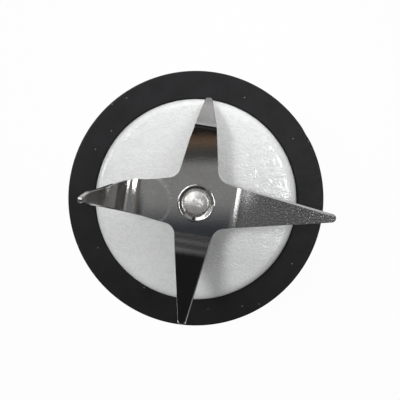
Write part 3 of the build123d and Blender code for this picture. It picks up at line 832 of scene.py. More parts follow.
each = np.arange(ARMS)
after = np.roll(each, -1)
corner_side = GROUND_HUB + ground_slope * PLAIN_HUB[after]
corner_side = corner_side / (1.0 - ground_slope * plain_slope[after])
corner_s = PLAIN_HUB[after] + plain_slope[after] * corner_side
plain_tip = to_plan(each, arm_length, TIP_SWEEP)
ground_tip = to_plan(each, arm_length, TIP_SWEEP + TIP_WIDTH)
blade_corners = np.stack([plain_tip, ground_tip, to_plan(each, corner_s, corner_side)], axis=1)
corner_radii = np.tile([TIP_CORNER, TIP_CORNER, HUB_CORNER], ARMS)
outline = rounded_outline(blade_corners.reshape(-1, 2), corner_radii, BLADE_ARC, BLADE_EDGE)
print("outline points:", outline[..., 0].size)

# %% [markdown]
# Each arm has one plain edge and one edge ground to a narrow bevel, which runs from the bend round the
# tip. A bevel share from 0 to 1 is kept for each point of the outline. The grid needs more points where
# the sheet bends or the outline turns, so points are picked at even steps of a sum of length, turning and
# bending.

# %% Give each outline point its arm and its bevel
BEVEL_AT_BEND = 0.8
BEVEL_RUN_IN = 2.5

arc_points = BLADE_ARC + 1
PLAIN_TIP, GROUND_TIP, HUB = range(3)
corner_kind = np.tile([PLAIN_TIP, GROUND_TIP, HUB], ARMS)[:, None]
own_arm = np.repeat(each, 3)[:, None]
past_corner = np.arange(arc_points + BLADE_EDGE) > BLADE_ARC // 2
arm_of = np.where((corner_kind == HUB) & past_corner, (own_arm + 1) % ARMS, own_arm)
s_of, _ = to_arm(arm_of, outline)
past_bend = (s_of - BEND_START[arm_of]) / (arm_length[arm_of] - BEND_START[arm_of])
run_in = BEVEL_AT_BEND * (1.0 + (s_of - BEND_START[arm_of]) / BEVEL_RUN_IN)
ground = np.clip(np.minimum(BEVEL_AT_BEND + (1.0 - BEVEL_AT_BEND) * past_bend, run_in), 0.0, 1.0)
along_tip = np.clip((np.arange(arc_points + BLADE_EDGE) - arc_points) / BLADE_EDGE, 0.0, 1.0) + 0.0 * s_of
bevel_share = np.select([corner_kind == PLAIN_TIP, corner_kind == GROUND_TIP], [along_tip, ground], 0.0)
print("outline points on a bevel:", int((bevel_share > 0.0).sum()))

# %% Pick the points that the grid needs
OUTLINE_POINTS = 480
SPACING = 0.9
TURN_STEP = 0.15
BEND_SPACING = 0.35

flat_outline = outline.reshape(-1, 2)
step = np.roll(flat_outline, -1, axis=0) - flat_outline
length = np.linalg.norm(step, axis=1)
heading = np.unwrap(np.arctan2(step[:, 1], step[:, 0]))
bending = (s_of > BEND_START[arm_of]) & (s_of < bend_end[arm_of])
need = length / SPACING + np.abs(np.gradient(heading)) / TURN_STEP + bending.ravel() * length / BEND_SPACING
summed = np.concatenate([[0.0], np.cumsum(need)])
picked = np.searchsorted(summed, np.linspace(0.0, summed[-1], OUTLINE_POINTS, endpoint=False))
picked = np.append(np.minimum(picked, len(need) - 1), picked[0])
edge_point = flat_outline[picked]
edge_arm = arm_of.ravel()[picked]
edge_bevel = bevel_share.ravel()[picked]
edge_heading = heading[picked]
print("outline points kept:", len(picked))

# %% [markdown]
# The left arm's plain edge isn't quite straight: it is a little full at the bend, hollow before the tip
# and slim at the tip. Each is a bell curve along the arm that moves the edge sideways, and only on the
# plain side.

# %% Hollow the left arm's plain edge
# Place along the arm, depth and length of each bell curve
HOLLOW = (25.0, 0.7, 4.2)
SLIM = (33.6, 0.36, 2.2)
FULL = (16.8, -0.35, 2.8)


def bell(s, place, depth, length):
    """Bell curve along s: depth times exp(-(distance from its place / its length)^2)."""
    return depth * np.exp(-(((s - place) / length) ** 2))


edge_s, edge_side = to_arm(edge_arm, edge_point)
ground_side = GROUND_HUB[LEFT] + ground_slope[LEFT] * edge_s
plain_side = -PLAIN_HUB[LEFT] - plain_slope[LEFT] * edge_s
plain_share = np.clip((ground_side - edge_side) / (ground_side - plain_side), 0.0, 1.0) * (edge_arm == LEFT)
inset = plain_share * (bell(edge_s, *HOLLOW) + bell(edge_s, *SLIM) + bell(edge_s, *FULL))
edge_point = to_plan(edge_arm, edge_s, edge_side + inset)
print("left arm's plain edge moves by up to", round(float(inset.max()), 2), "mm")

# %% [markdown]
# Seen in section, a line runs from the hole out to the bevel, over the edge, and back along the
# underside. Every outline point has such a line, and the lines side by side are the grid. Near a tip the
# bevel's inner line is drawn back towards the arm's middle, so that it goes round the tip without
# crossing itself.

# %% Find the hole and the bevel's inner line
TENON_RADIUS = 2.6
FLAT_REACH = 2.2
TENON_CLEARANCE = 0.02
SPINE_BACK = 2.2
TIP_ZONE = 3.0
ROUND_EDGE = np.array([0.07, 0.07, 0.07, 0.02])
BEVEL_WIDTH = np.array([0.45, 0.2, 0.36, 0.27])
BEVEL_LAND = np.array([0.5, 0.5, 0.5, 0.7])
TINY = 1e-6

blade_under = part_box("blade_collar")[1].z / MM
thickness = BLADE_LEVEL - blade_under
inward = np.stack([-np.sin(edge_heading), np.cos(edge_heading)], axis=-1)
spine_s = arm_length[edge_arm] - SPINE_BACK
spine = to_plan(edge_arm, spine_s, TIP_SWEEP[edge_arm] + TIP_WIDTH[edge_arm] / 2.0) - edge_point
spine /= np.linalg.norm(spine, axis=1, keepdims=True)
near_tip = np.clip((edge_s - arm_length[edge_arm] + TIP_ZONE) / TIP_ZONE, 0.0, 1.0)[:, None] ** 2
inward = (1.0 - near_tip) * inward + near_tip * spine
inward /= np.linalg.norm(inward, axis=1, keepdims=True)
edge_round = ROUND_EDGE[edge_arm]
bevel_width = edge_round + (BEVEL_WIDTH[edge_arm] - edge_round) * edge_bevel
bevel_depth = edge_round + (thickness - BEVEL_LAND[edge_arm] - edge_round) * edge_bevel
polar = np.arctan2(edge_point[:, 1], edge_point[:, 0])
off_flats = np.maximum(np.abs(np.cos(polar - HEADING[RIGHT])), TINY)
tenon_bore = TENON_RADIUS + TENON_CLEARANCE
flats = (FLAT_REACH + TENON_CLEARANCE) / off_flats
hole = np.minimum(tenon_bore, flats)[:, None] * np.stack([np.cos(polar), np.sin(polar)], axis=-1)
bevel_line = edge_point + inward * bevel_width[:, None]
under_line = edge_point + inward * edge_round[:, None]
print(f"sheet {thickness:.2f} mm thick, bevels up to {bevel_width.max():.2f} mm wide")

# %% Fill the outline
TOP_ROWS = 100
UNDER_ROWS = 50
EDGE_HOLD = 0.988
BEND_DENSITY = np.array([4.0, 9.0, 1.0, 4.0])


def fan_shares(first, last, rows):
    """Shares from 0 to 1 along lines from first to last, packed closer where a line crosses its arm's bend.

    Walking along a line, the bend counts as 1 + density times its length, and the rows are even steps of
    that walk. The last row but one stays a little short of the edge, to hold the face flat there.
    """
    s_first, _ = to_arm(edge_arm, first)
    s_reach = np.maximum(EDGE_HOLD * (to_arm(edge_arm, last)[0] - s_first), TINY)
    into = np.clip((BEND_START[edge_arm] - s_first) / s_reach, 0.0, 1.0)[:, None]
    out_of = np.clip((bend_end[edge_arm] - s_first) / s_reach, 0.0, 1.0)[:, None]
    density = 1.0 + BEND_DENSITY[edge_arm][:, None]
    walk = np.linspace(0.0, 1.0, rows - 1) * (1.0 + (density - 1.0) * (out_of - into))
    in_bend = np.clip(walk - into, 0.0, density * (out_of - into))
    past_it = np.maximum(walk - into - density * (out_of - into), 0.0)
    share = EDGE_HOLD * (np.minimum(walk, into) + in_bend / density + past_it)
    return np.concatenate([share, np.ones((len(share), 1))], axis=1)[..., None]


top_plan = hole[:, None] + fan_shares(hole, bevel_line, TOP_ROWS) * (bevel_line - hole)[:, None]
under_plan = hole[:, None] + fan_shares(hole, under_line, UNDER_ROWS)[:, ::-1] * (under_line - hole)[:, None]
wall_plan = np.repeat(edge_point[:, None], 2, axis=1)
blade_plan = np.concatenate([top_plan, wall_plan, under_plan, hole[:, None]], axis=1)
wall_depth = np.stack([bevel_depth, thickness - edge_round], axis=1)
top_depth = np.zeros((len(picked), TOP_ROWS))
under_depth = np.full((len(picked), UNDER_ROWS), thickness)
blade_depth = np.concatenate([top_depth, wall_depth, under_depth, top_depth[:, :1]], axis=1)
print("grid of the flat sheet:", blade_plan.shape[:2])


# %% [markdown]
# The press keeps the sheet's upper face at its length: up to the bend it stays flat, in the bend it
# follows an arc, and past it the face runs straight on at the bend's angle. Thickness is measured
# squarely under that face. The flat sheet is kept as the blade's own map, and the faces of the bevel take
# a second finish.

# %% Bend the arms
UV_SPAN = 100.0
UV_MIDDLE = 0.5
GROUND_SHARE = 0.3


def bent_sheet(arm, plan, depth, top_z):
    """Flat plan points and depths below the upper face, carried through each arm's bend.

    With t the part of the bend's angle that is used up at s: out = start + radius |sin t| + rest cos t,
    up = radius (1 - cos t), upwards or downwards, + rest sin t, and depth goes along (sin t, -cos t).
    """
    s, side = to_arm(arm, plan)
    start, end, angle, radius = BEND_START[arm], bend_end[arm], BEND_ANGLE[arm], BEND_RADIUS[arm]
    t = angle * np.clip((s - start) / (end - start), 0.0, 1.0)
    rest = np.maximum(s - end, 0.0)
    out = np.minimum(s, start) + radius * np.abs(np.sin(t)) + rest * np.cos(t) + depth * np.sin(t)
    up = np.sign(angle) * radius * (1.0 - np.cos(t)) + rest * np.sin(t) - depth * np.cos(t)
    return np.concatenate([to_plan(arm, out, side), (top_z + up)[..., None]], axis=-1)


blade_points = bent_sheet(edge_arm[:, None], blade_plan, blade_depth, BLADE_LEVEL)
slots = np.zeros(np.array(blade_plan.shape[:2]) - 1)
slots[:, TOP_ROWS - 1] = edge_bevel[:-1] > GROUND_SHARE
bent_blade = surface_piece("bent_blade", blade_points, UV_MIDDLE + blade_plan / UV_SPAN, slots)
blade_low, blade_high = blade_points.min(axis=(0, 1)), blade_points.max(axis=(0, 1))
print("blade box, mm:", np.round(blade_low, 2), np.round(blade_high, 2))

# %% [markdown]
# The steel is polished nearly to a mirror. The right arm has a worn bend, and past it the arm is pitted
# and sparkles: the pits are a real relief, painted dark as painted shade, with painted glints on the steel
# between them. The press has dulled the bend of the bottom arm, which is also painted dark as a painted
# reflection, and the left tip is hazy and painted darker as painted shade. Long scratches follow the
# rolling of the sheet, a drop has dried to a faint ring on the left arm, and pale specks lie here and
# there. All but the specks are read from the flat sheet's own map, so that they run through the bends as
# they do on the real blade.

# %% Measure along the sheet
SHEET_MM = 1.0 / (MM * UV_SPAN)


def band(tree, pattern, low, high, borders):
    """1 where the pattern lies from low to high, in millimetres on the sheet, with soft borders outside."""
    rise = spread(tree, pattern, 0.0, 1.0, (low - borders[0]) / UV_SPAN, low / UV_SPAN)
    return times(tree, rise, spread(tree, pattern, 1.0, 0.0, high / UV_SPAN, (high + borders[1]) / UV_SPAN))


def along_arm(tree, arm):
    """Distance along one arm's axis on the flat sheet, in the map's unit, from the shaft outwards."""
    middle = {0: place_on(tree, "UV"), 1: (UV_MIDDLE, UV_MIDDLE, 0.0)}
    centred = add_node(tree, "ShaderNodeVectorMath", middle, operation="SUBTRACT")
    axis = {0: centred, 1: (math.cos(HEADING[arm]), math.sin(HEADING[arm]), 0.0)}
    return add_node(tree, "ShaderNodeVectorMath", axis, operation="DOT_PRODUCT").outputs["Value"]


def beyond(tree, arm, start, end, low, high):
    """Goes from low to high between two distances along an arm, in millimetres."""
    return spread(tree, along_arm(tree, arm), low, high, start / UV_SPAN, end / UV_SPAN)


def sheet_grain(tree, size, detail, shift=0.0, stretch=EVEN):
    """Grain of a size in millimetres on the flat sheet."""
    return grain(tree, size * SHEET_MM, detail, stretch, "UV", shift)


# %% Mark the worn places of the blade, and where dark reflection and shade are painted
PITTED_FROM, PITTED_TO = 9.4, 12.4
PITS_ELSEWHERE = 0.05
WORN_FROM, WORN_TO = 11.4, 12.6
WORN_BORDERS = (1.0, 4.0)
WORN_SIDES = (-2.5, 4.0)
DULL_DARK_FROM, DULL_DARK_TO = 8.3, 11.3
DULL_DARK_BORDERS = (0.7, 2.6)
HAZY_DARK_FROM, HAZY_DARK_TO = 21.0, 25.0
HAZE_AND_SHADE = 0.45
DROP_CENTRE = (-12.9, 0.65)
DROP_RADIUS = 6.5
DROP_LINE = 0.8

stainless_sheet, tree, shader = new_finish("stainless_sheet", roughness=0.07, metallic=1.0)
right_arm = beyond(tree, RIGHT, PITTED_FROM, PITTED_TO, PITS_ELSEWHERE, 1.0)
worn_bend = band(tree, along_arm(tree, RIGHT), WORN_FROM, WORN_TO, WORN_BORDERS)
worn_bend = times(tree, beyond(tree, TOP, *WORN_SIDES, 0.0, 1.0), worn_bend)
# The bottom arm's bend is dulled, and its colour is painted dark there as a painted reflection
dull_dark_bend = band(tree, along_arm(tree, BOTTOM), DULL_DARK_FROM, DULL_DARK_TO, DULL_DARK_BORDERS)
# The left tip is hazy, and its colour is painted darker there as painted shade
hazy_dark_tip = beyond(tree, LEFT, HAZY_DARK_FROM, HAZY_DARK_TO, 0.0, HAZE_AND_SHADE)
drop_place = [UV_MIDDLE + v / UV_SPAN for v in DROP_CENTRE]
from_drop = distance_from(tree, (*drop_place, 0.0), "UV")
drop_ring = band(tree, from_drop, DROP_RADIUS, DROP_RADIUS, (DROP_LINE, DROP_LINE))

# %% Mix the blade's steel
PIT_SIZE, PIT_DEPTH = 0.34, 0.04
PIT_FROM, PIT_TO = 0.32, 0.68
SCRATCH_SIZE, SCRATCH_DEPTH = 0.12, 0.0012
SCRATCH_STRETCH = (40.0, 1.0, 1.0)
STAIN_SIZE = 5.0
MOTTLE_SIZE = 0.6
SPARK_CELL, SPARK_SPOT, SPARK_SKIP = 1.3, 0.1, 0.72
STAINED_STEEL = ((0.60, 0.585, 0.565), (0.66, 0.66, 0.66))
CLEAN_STEEL = ((0.66, 0.655, 0.64), (0.71, 0.71, 0.71))
# Right arm: painted shade in the pits and painted glints on the steel between them
PIT_SHADE_AND_GLINT_GREYS = ((0.27, 0.27, 0.27), (0.88, 0.88, 0.88))
# Painted dark reflection on the bottom arm's bend
PAINTED_DARK_REFLECTION_GREYS = ((0.14, 0.14, 0.14), (0.19, 0.19, 0.19))
RING_GREY = (0.85, 0.85, 0.85)
RING_STRENGTH = (0.1, 0.7)
SPARK_WHITE = (0.98, 0.98, 0.98)
# Painted shade on the left tip
PAINTED_TIP_SHADE_GREY = (0.2, 0.195, 0.2)

pits = sheet_grain(tree, PIT_SIZE, detail=3.0)
scratches = sheet_grain(tree, SCRATCH_SIZE, detail=2.0, shift=3.0, stretch=SCRATCH_STRETCH)
stains = spread(tree, sheet_grain(tree, STAIN_SIZE, detail=4.0, shift=7.0), 0.0, 1.0)
mottle = spread(tree, sheet_grain(tree, MOTTLE_SIZE, detail=4.0, shift=9.0), 0.0, 1.0)
ring_mark = times(tree, drop_ring, spread(tree, mottle, *RING_STRENGTH, 0.0, 1.0))
clean = blend_colours(tree, stains, *CLEAN_STEEL)
steel = blend_colours(tree, mottle, blend_colours(tree, stains, *STAINED_STEEL), clean)
# Past the right arm's bend the pits are painted dark as shade and the steel between them bright as glints
pits_shade_and_glints = blend_colours(tree, spread(tree, pits, 0.0, 1.0, PIT_FROM, PIT_TO), *PIT_SHADE_AND_GLINT_GREYS)
steel = blend_colours(tree, right_arm, steel, pits_shade_and_glints)
steel = blend_colours(tree, ring_mark, steel, RING_GREY)
steel = blend_colours(tree, dust(tree, SPARK_CELL, SPARK_SPOT, SPARK_SKIP), steel, SPARK_WHITE)
# Painted reflection: the bottom arm's bend is painted dark
steel = blend_colours(tree, dull_dark_bend, steel, blend_colours(tree, mottle, *PAINTED_DARK_REFLECTION_GREYS))
# Painted shade: the left tip is painted darker
steel = blend_colours(tree, hazy_dark_tip, steel, PAINTED_TIP_SHADE_GREY)

# %% Set the blade's gloss and relief
MIRROR, DULLED = 0.05, 0.3
WORN_ROUGHER, RING_ROUGHER = 0.24, 0.25

dull = plus(tree, spread(tree, dull_dark_bend, MIRROR, DULLED, 0.0, 1.0), times(tree, hazy_dark_tip, hazy_dark_tip))
worn = spread(tree, worn_bend, 0.0, WORN_ROUGHER, 0.0, 1.0)
worn = plus(tree, worn, spread(tree, ring_mark, 0.0, RING_ROUGHER, 0.0, 1.0))
wire(tree, shader, steel, plus(tree, dull, worn))
pitted = relief(tree, shader, times(tree, pits, right_arm), PIT_DEPTH)
relief(tree, shader, scratches, SCRATCH_DEPTH, over=pitted)
print("nodes in the blade's steel:", len(tree.nodes))

# %% Finish the bevels and dress the blade
WHEEL_SIZE = 0.15
GROUND_GREYS = ((0.74, 0.74, 0.735), (0.86, 0.86, 0.86))
GROUND_ROUGHNESS = (0.12, 0.2)

ground_steel, tree, shader = new_finish("ground_steel", roughness=0.16, metallic=1.0)
wheel_marks = spread(tree, sheet_grain(tree, WHEEL_SIZE, detail=2.0, shift=5.0), 0.0, 1.0)
ground_tone = blend_colours(tree, wheel_marks, *GROUND_GREYS)
wire(tree, shader, ground_tone, spread(tree, wheel_marks, *GROUND_ROUGHNESS, 0.0, 1.0))
dress(bent_blade, "rotor", [stainless_sheet, ground_steel], "blade")


# %% [markdown]
# ## Shaft and riveted head
#
# The shaft is turned from bar. Its top end is a tenon with two flats that carries the blade round, and a
# press has spread the end of the tenon into a low dome. The shaft is one outline from pole to pole, and
# the flats are cut by limiting how far its points reach sideways between two heights.

# %% Measure the shaft
_, SHAFT_COLLAR_RADIUS, SHAFT_END, HEAD_TOP = turned_extent("drive_shaft")
_, _, RING_UNDER, RING_TOP = turned_extent("retaining_ring")
_, _, _, INSERT_TOP = turned_extent("coupling_insert")
_, _, _, WEAR_TOP = turned_extent("upper_wear_washer")
SHAFT_RADIUS = 4.0
SHAFT_END_RADIUS = 3.175
GROOVE_RADIUS = 3.4
COLLAR_THICKNESS = 1.0
HEAD_RADIUS = 3.2
HEAD_EDGE = 0.14
WASHER_FLOOR = 0.6

collar_top = WEAR_TOP + COLLAR_THICKNESS
head_under = BLADE_LEVEL + WASHER_FLOOR
head_rise = HEAD_TOP - head_under - HEAD_EDGE
print(f"head {head_rise + HEAD_EDGE:.2f} mm high")

# %% Turn the shaft
END_EDGE = 0.5
TURNED_EDGE = 0.1
HEAD_ROUNDING = 0.12
POLE = 1e-4
POLE_EDGE = 1e-5
CAP_POINTS = 25
SHAFT_STEPS = 128

shaft_corners = [
    (POLE, SHAFT_END, POLE_EDGE),
    (SHAFT_END_RADIUS, SHAFT_END, END_EDGE),
    (SHAFT_END_RADIUS, INSERT_TOP, SEAT_EDGE),
    (SHAFT_RADIUS, INSERT_TOP, TURNED_EDGE),
    (SHAFT_RADIUS, RING_UNDER, SEAT_EDGE),
    (GROOVE_RADIUS, RING_UNDER, SEAT_EDGE),
    (GROOVE_RADIUS, RING_TOP, SEAT_EDGE),
    (SHAFT_RADIUS, RING_TOP, SEAT_EDGE),
    (SHAFT_RADIUS, WEAR_TOP, SEAT_EDGE),
    (SHAFT_COLLAR_RADIUS, WEAR_TOP, TURNED_EDGE),
    (SHAFT_COLLAR_RADIUS, collar_top, TURNED_EDGE),
    (SHAFT_RADIUS, collar_top, SEAT_EDGE),
    (SHAFT_RADIUS, blade_under, TURNED_EDGE),
    (TENON_RADIUS, blade_under, SEAT_EDGE),
    (TENON_RADIUS, head_under, SEAT_EDGE),
    (HEAD_RADIUS, head_under, TURNED_EDGE),
    (HEAD_RADIUS, head_under + HEAD_EDGE, HEAD_ROUNDING),
    (POLE, HEAD_TOP, POLE_EDGE),
]
shaft_table = np.array(shaft_corners)
shaft_rows = rounded_outline(shaft_table[:, :2], shaft_table[:, 2])
cap_radius = (HEAD_RADIUS**2 + head_rise**2) / (2.0 * head_rise)
cap_angle = np.linspace(math.asin(HEAD_RADIUS / cap_radius), 0.0, CAP_POINTS)
cap = np.stack([cap_radius * np.sin(cap_angle), HEAD_TOP - cap_radius * (1.0 - np.cos(cap_angle))], axis=-1)
foot_row = np.array([[0.0, SHAFT_END]])
side_rows = shaft_rows[1:-2].reshape(-1, 2)
head_arc = shaft_rows[-2, : ARC_STEPS + 1]
shaft_outline = np.vstack([foot_row, side_rows, head_arc, cap[1:]])
shaft_points = turned_surface(shaft_outline, SHAFT_STEPS)
in_tenon = (shaft_points[..., 2] > blade_under) & (shaft_points[..., 2] < head_under)
flat_axis = np.array([math.cos(HEADING[RIGHT]), math.sin(HEADING[RIGHT])])
reach = shaft_points[..., :2] @ flat_axis
excess = np.where(in_tenon, reach - np.clip(reach, -FLAT_REACH, FLAT_REACH), 0.0)
shaft_points[..., :2] -= excess[..., None] * flat_axis
riveted_shaft = surface_piece("riveted_shaft", shaft_points)

# %% [markdown]
# A dished washer lies under the head: a flat floor with a raised, rounded rim. The slope inside the rim
# catches the lamp as a bright crescent.

# %% Press the dished washer
_, WASHER_RADIUS, WASHER_UNDER, WASHER_TOP = turned_extent("rivet_washer")
DISH_FOOT = 3.3
RIM_INNER = 4.25
RIM_EDGE = 0.25

washer_corners = [
    (tenon_bore, WASHER_UNDER, SEAT_EDGE),
    (WASHER_RADIUS, WASHER_UNDER, HEAD_ROUNDING),
    (WASHER_RADIUS, WASHER_TOP, RIM_EDGE),
    (RIM_INNER, WASHER_TOP, RIM_EDGE),
    (DISH_FOOT, head_under, TURNED_EDGE),
    (tenon_bore, head_under, SEAT_EDGE),
]
dished_washer = surface_piece("dished_washer", turned_ring(washer_corners))

# %% [markdown]
# The head was struck and then brushed, so it is duller than the sheet and scatters part of the light. Its
# streaks run from the middle outwards: the noise there reads the direction from the axis and not the
# distance. The head's foot is painted darker towards the front, in ragged specks: painted shade of the
# groove under the head, on its side away from the lamp. The washer and the rest of the shaft are bright.

# %% Patterns of the head
STREAK_FINENESS = 9.0
# Painted shade at the head's foot: where it lies, and its colour further down
FOOT_SHADE_FROM, FOOT_SHADE_TO = 2.35, 3.3
FOOT_SHADE_FRONT, FOOT_SHADE_LINE = -2.0, -0.4
FOOT_SHADE_SIZE = 0.5
SPECKS_FROM, SPECKS_TO = 0.42, 0.56
FOOT_SHADE_BROWN = (0.045, 0.036, 0.03)


def streaks(tree):
    """Noise that changes with the direction from the Z axis, and not with the distance from it."""
    flattened = {0: place_on(tree), 1: (1.0, 1.0, 0.0)}
    flat = add_node(tree, "ShaderNodeVectorMath", flattened, operation="MULTIPLY")
    direction = add_node(tree, "ShaderNodeVectorMath", {0: flat}, operation="NORMALIZE")
    noise = {"Vector": direction, "Scale": STREAK_FINENESS, "Detail": 2.0}
    return add_node(tree, "ShaderNodeTexNoise", noise).outputs["Fac"]


def foot_shade(tree):
    """1 where shade is painted: at the foot of the head, towards the front, in ragged specks."""
    from_top = distance_from(tree, (0.0, 0.0, HEAD_TOP * MM))
    outer = spread(tree, from_top, 0.0, 1.0, FOOT_SHADE_FROM * MM, FOOT_SHADE_TO * MM)
    y = add_node(tree, "ShaderNodeSeparateXYZ", {0: place_on(tree)}).outputs["Y"]
    front = spread(tree, y, 1.0, 0.0, FOOT_SHADE_FRONT * MM, FOOT_SHADE_LINE * MM)
    ragged = grain(tree, FOOT_SHADE_SIZE, detail=4.0, shift=11.0)
    specks = spread(tree, ragged, 0.0, 1.0, SPECKS_FROM, SPECKS_TO)
    return times(tree, times(tree, outer, front), specks)


# %% Finish the head, the shaft and the washer
DENT_SIZE, DENT_DEPTH = 0.9, 0.012
SMOOTHER, ROUGHER = 0.03, 0.05
STRUCK_GREYS = ((0.50, 0.485, 0.46), (0.86, 0.85, 0.83))
TURNED_GREYS = ((0.62, 0.61, 0.595), (0.74, 0.735, 0.72))


def steel_finish(name, roughness, metallic, greys, streak_depth, shaded_foot):
    """Turned steel with soft dents, streaks from the axis, and painted shade at the head's foot where asked.
    """
    material, tree, shader = new_finish(name, roughness, metallic)
    dents = grain(tree, DENT_SIZE)
    brushed = spread(tree, streaks(tree), 0.0, 1.0)
    metal = blend_colours(tree, brushed, *greys)
    if shaded_foot:
        # Painted shade darkens the head's foot towards the front
        metal = blend_colours(tree, foot_shade(tree), metal, FOOT_SHADE_BROWN)
    wire(tree, shader, metal, spread(tree, dents, roughness - SMOOTHER, roughness + ROUGHER))
    dented = relief(tree, shader, dents, DENT_DEPTH)
    relief(tree, shader, brushed, streak_depth, over=dented)
    return material


# The struck head gets painted shade at its foot
struck_steel = steel_finish(
    "struck_steel", roughness=0.3, metallic=0.62, greys=STRUCK_GREYS, streak_depth=0.04, shaded_foot=True
)
turned_steel = steel_finish(
    "turned_steel", roughness=0.08, metallic=1.0, greys=TURNED_GREYS, streak_depth=0.003, shaded_foot=False
)
dress(riveted_shaft, "rotor", [turned_steel, struck_steel], "drive_shaft")
dress(dished_washer, "rotor", [turned_steel], "rivet_washer")
shaft_faces = riveted_shaft.data.polygons
face_middle = np.empty(3 * len(shaft_faces), np.float32)
shaft_faces.foreach_get("center", face_middle)
on_head = face_middle.reshape(-1, 3)[:, 2] > (head_under + 0.5 * HEAD_EDGE) * MM
shaft_faces.foreach_set("material_index", on_head.astype(np.int32))
print("faces on the struck head:", int(on_head.sum()))


# %% [markdown]
# ## Collar, slinger and seal cap
#
# Under the blade a steel collar carries the load down to the shaft, a rubber disc throws liquid outwards,
# and a pressed cap holds the seal. Each is a plain ring, so its frame node gives every size, and the
# lesson only rounds its edges.

# %% Turn the plain rings
def plain_ring(name, node, edges):
    """Ring with the node's own bore, radius and heights, and its four edges rounded."""
    bore, radius, under, top = turned_extent(node)
    corners = [(bore, under), (radius, under), (radius, top), (bore, top)]
    return surface_piece(name, turned_ring(np.column_stack([corners, edges])))


SEAL_SIZE = 2.5
SEAL_GRAIN, SEAL_DEPTH = 0.2, 0.008
SEAL_BLACKS = ((0.02, 0.02, 0.022), (0.035, 0.034, 0.036))
SEAL_ROUGHNESS = (0.38, 0.55)

seal_rubber, tree, shader = new_finish("seal_rubber", roughness=0.45, Specular_IOR_Level=0.4)
seal_cloud = spread(tree, grain(tree, SEAL_SIZE, detail=4.0), 0.0, 1.0)
seal_tone = blend_colours(tree, seal_cloud, *SEAL_BLACKS)
wire(tree, shader, seal_tone, spread(tree, seal_cloud, *SEAL_ROUGHNESS, 0.0, 1.0))
relief(tree, shader, grain(tree, SEAL_GRAIN), SEAL_DEPTH)

# Name, node, the four roundings from the bore's lower edge on, body, slot and finish
plain_rings = [
    ("spacer_collar", "blade_collar", (0.05, 0.12, 0.45, 0.05), "rotor", "turned_steel", turned_steel),
    ("rubber_slinger", "slinger_washer", (0.05, 0.3, 0.3, 0.05), "rotor", "seal_rubber", seal_rubber),
    ("pressed_seal_cap", "seal_cap", (0.1, 0.1, 0.25, 0.25), "base", "turned_steel", turned_steel),
]
for name, node, edges, body, slot, finish in plain_rings:
    dress(plain_ring(name, node, edges), body, [finish], node)


# %% [markdown]
# ## Drive coupling
#
# The motor's drive enters a socket with six round lobes in the black coupling under the unit. The
# coupling is a surface whose radius changes with the angle: each row of the grid takes the round outside,
# the lobed socket or the hexagon of the brass insert, and the rows from pole to pole make the closed
# body.

# %% Draw the coupling's sections
_, COUPLING_RADIUS, COUPLING_UNDER, COUPLING_TOP = turned_extent("drive_coupling")
SOCKET_RADIUS = 5.0
SOCKET_DEPTH = 6.2
LOBE_RADIUS = 1.7
LOBE_COUNT = 6
INSERT_RADIUS = 4.975
COUPLING_STEPS = 360
PITCH = 2.0 * np.pi / LOBE_COUNT


def lobed_socket(turn):
    """Socket's radius: R cos a + sqrt(r^2 - (R sin a)^2) at angle a from a lobe, and R between lobes."""
    off_lobe = (turn + PITCH / 2.0) % PITCH - PITCH / 2.0
    inside_lobe = LOBE_RADIUS**2 - (SOCKET_RADIUS * np.sin(off_lobe)) ** 2
    reach = SOCKET_RADIUS * np.cos(off_lobe) + np.sqrt(np.maximum(inside_lobe, 0.0))
    return np.where(inside_lobe > 0.0, np.maximum(reach, SOCKET_RADIUS), SOCKET_RADIUS)


def hexagon_seat(turn):
    """Insert's radius: half its width across the flats / cos(angle from the middle of the nearest flat)."""
    return INSERT_RADIUS * np.cos(PITCH / 2.0) / np.cos(turn % PITCH - PITCH / 2.0)


turn = np.linspace(0.0, 2.0 * np.pi, COUPLING_STEPS + 1)
lobed = lobed_socket(turn)
hexagon = hexagon_seat(turn)
outside = np.full_like(turn, COUPLING_RADIUS)
print(f"socket {2.0 * lobed.max():.1f} mm across its lobes")

# %% Mould the coupling
_, _, INSERT_UNDER, _ = turned_extent("coupling_insert")
ROOF_EDGE = 0.15
HEXAGON_EDGE = 0.1
# Points of two roundings, as steps outwards from the socket and inwards from the outside, and along the axis
MOUTH_ROUNDING = ((0.0, 0.45), (0.12, 0.13), (0.42, 0.0))
OUTSIDE_ROUNDING = ((0.65, 0.0), (0.2, 0.18), (0.0, 0.65))

socket_roof = COUPLING_UNDER + SOCKET_DEPTH
rows = [(0.0 * turn, socket_roof), (lobed - ROOF_EDGE, socket_roof), (lobed, socket_roof - ROOF_EDGE)]
rows += [(lobed + step, COUPLING_UNDER + up) for step, up in MOUTH_ROUNDING]
rows += [(outside - step, COUPLING_UNDER + up) for step, up in OUTSIDE_ROUNDING]
rows += [(outside - step, COUPLING_TOP - down) for step, down in reversed(OUTSIDE_ROUNDING)]
rows += [(hexagon + HEXAGON_EDGE, COUPLING_TOP), (hexagon, COUPLING_TOP - HEXAGON_EDGE)]
rows += [(hexagon, INSERT_UNDER), (0.0 * turn, INSERT_UNDER)]
row_radius = np.stack([radius for radius, _ in rows], axis=1)
row_height = np.array([height for _, height in rows]) + 0.0 * row_radius
around = turn[:, None]
coupling_points = np.stack([row_radius * np.cos(around), row_radius * np.sin(around), row_height], axis=-1)
lobed_coupling = surface_piece("lobed_coupling", coupling_points)

# %% Finish the coupling
FLOW_SIZE = 4.0
FLOW_STRETCH = (1.0, 1.0, 3.0)
COUPLING_GRAIN, COUPLING_DEPTH = 0.35, 0.008
COUPLING_BLACKS = ((0.022, 0.022, 0.023), (0.034, 0.034, 0.035))
COUPLING_ROUGHNESS = (0.36, 0.5)

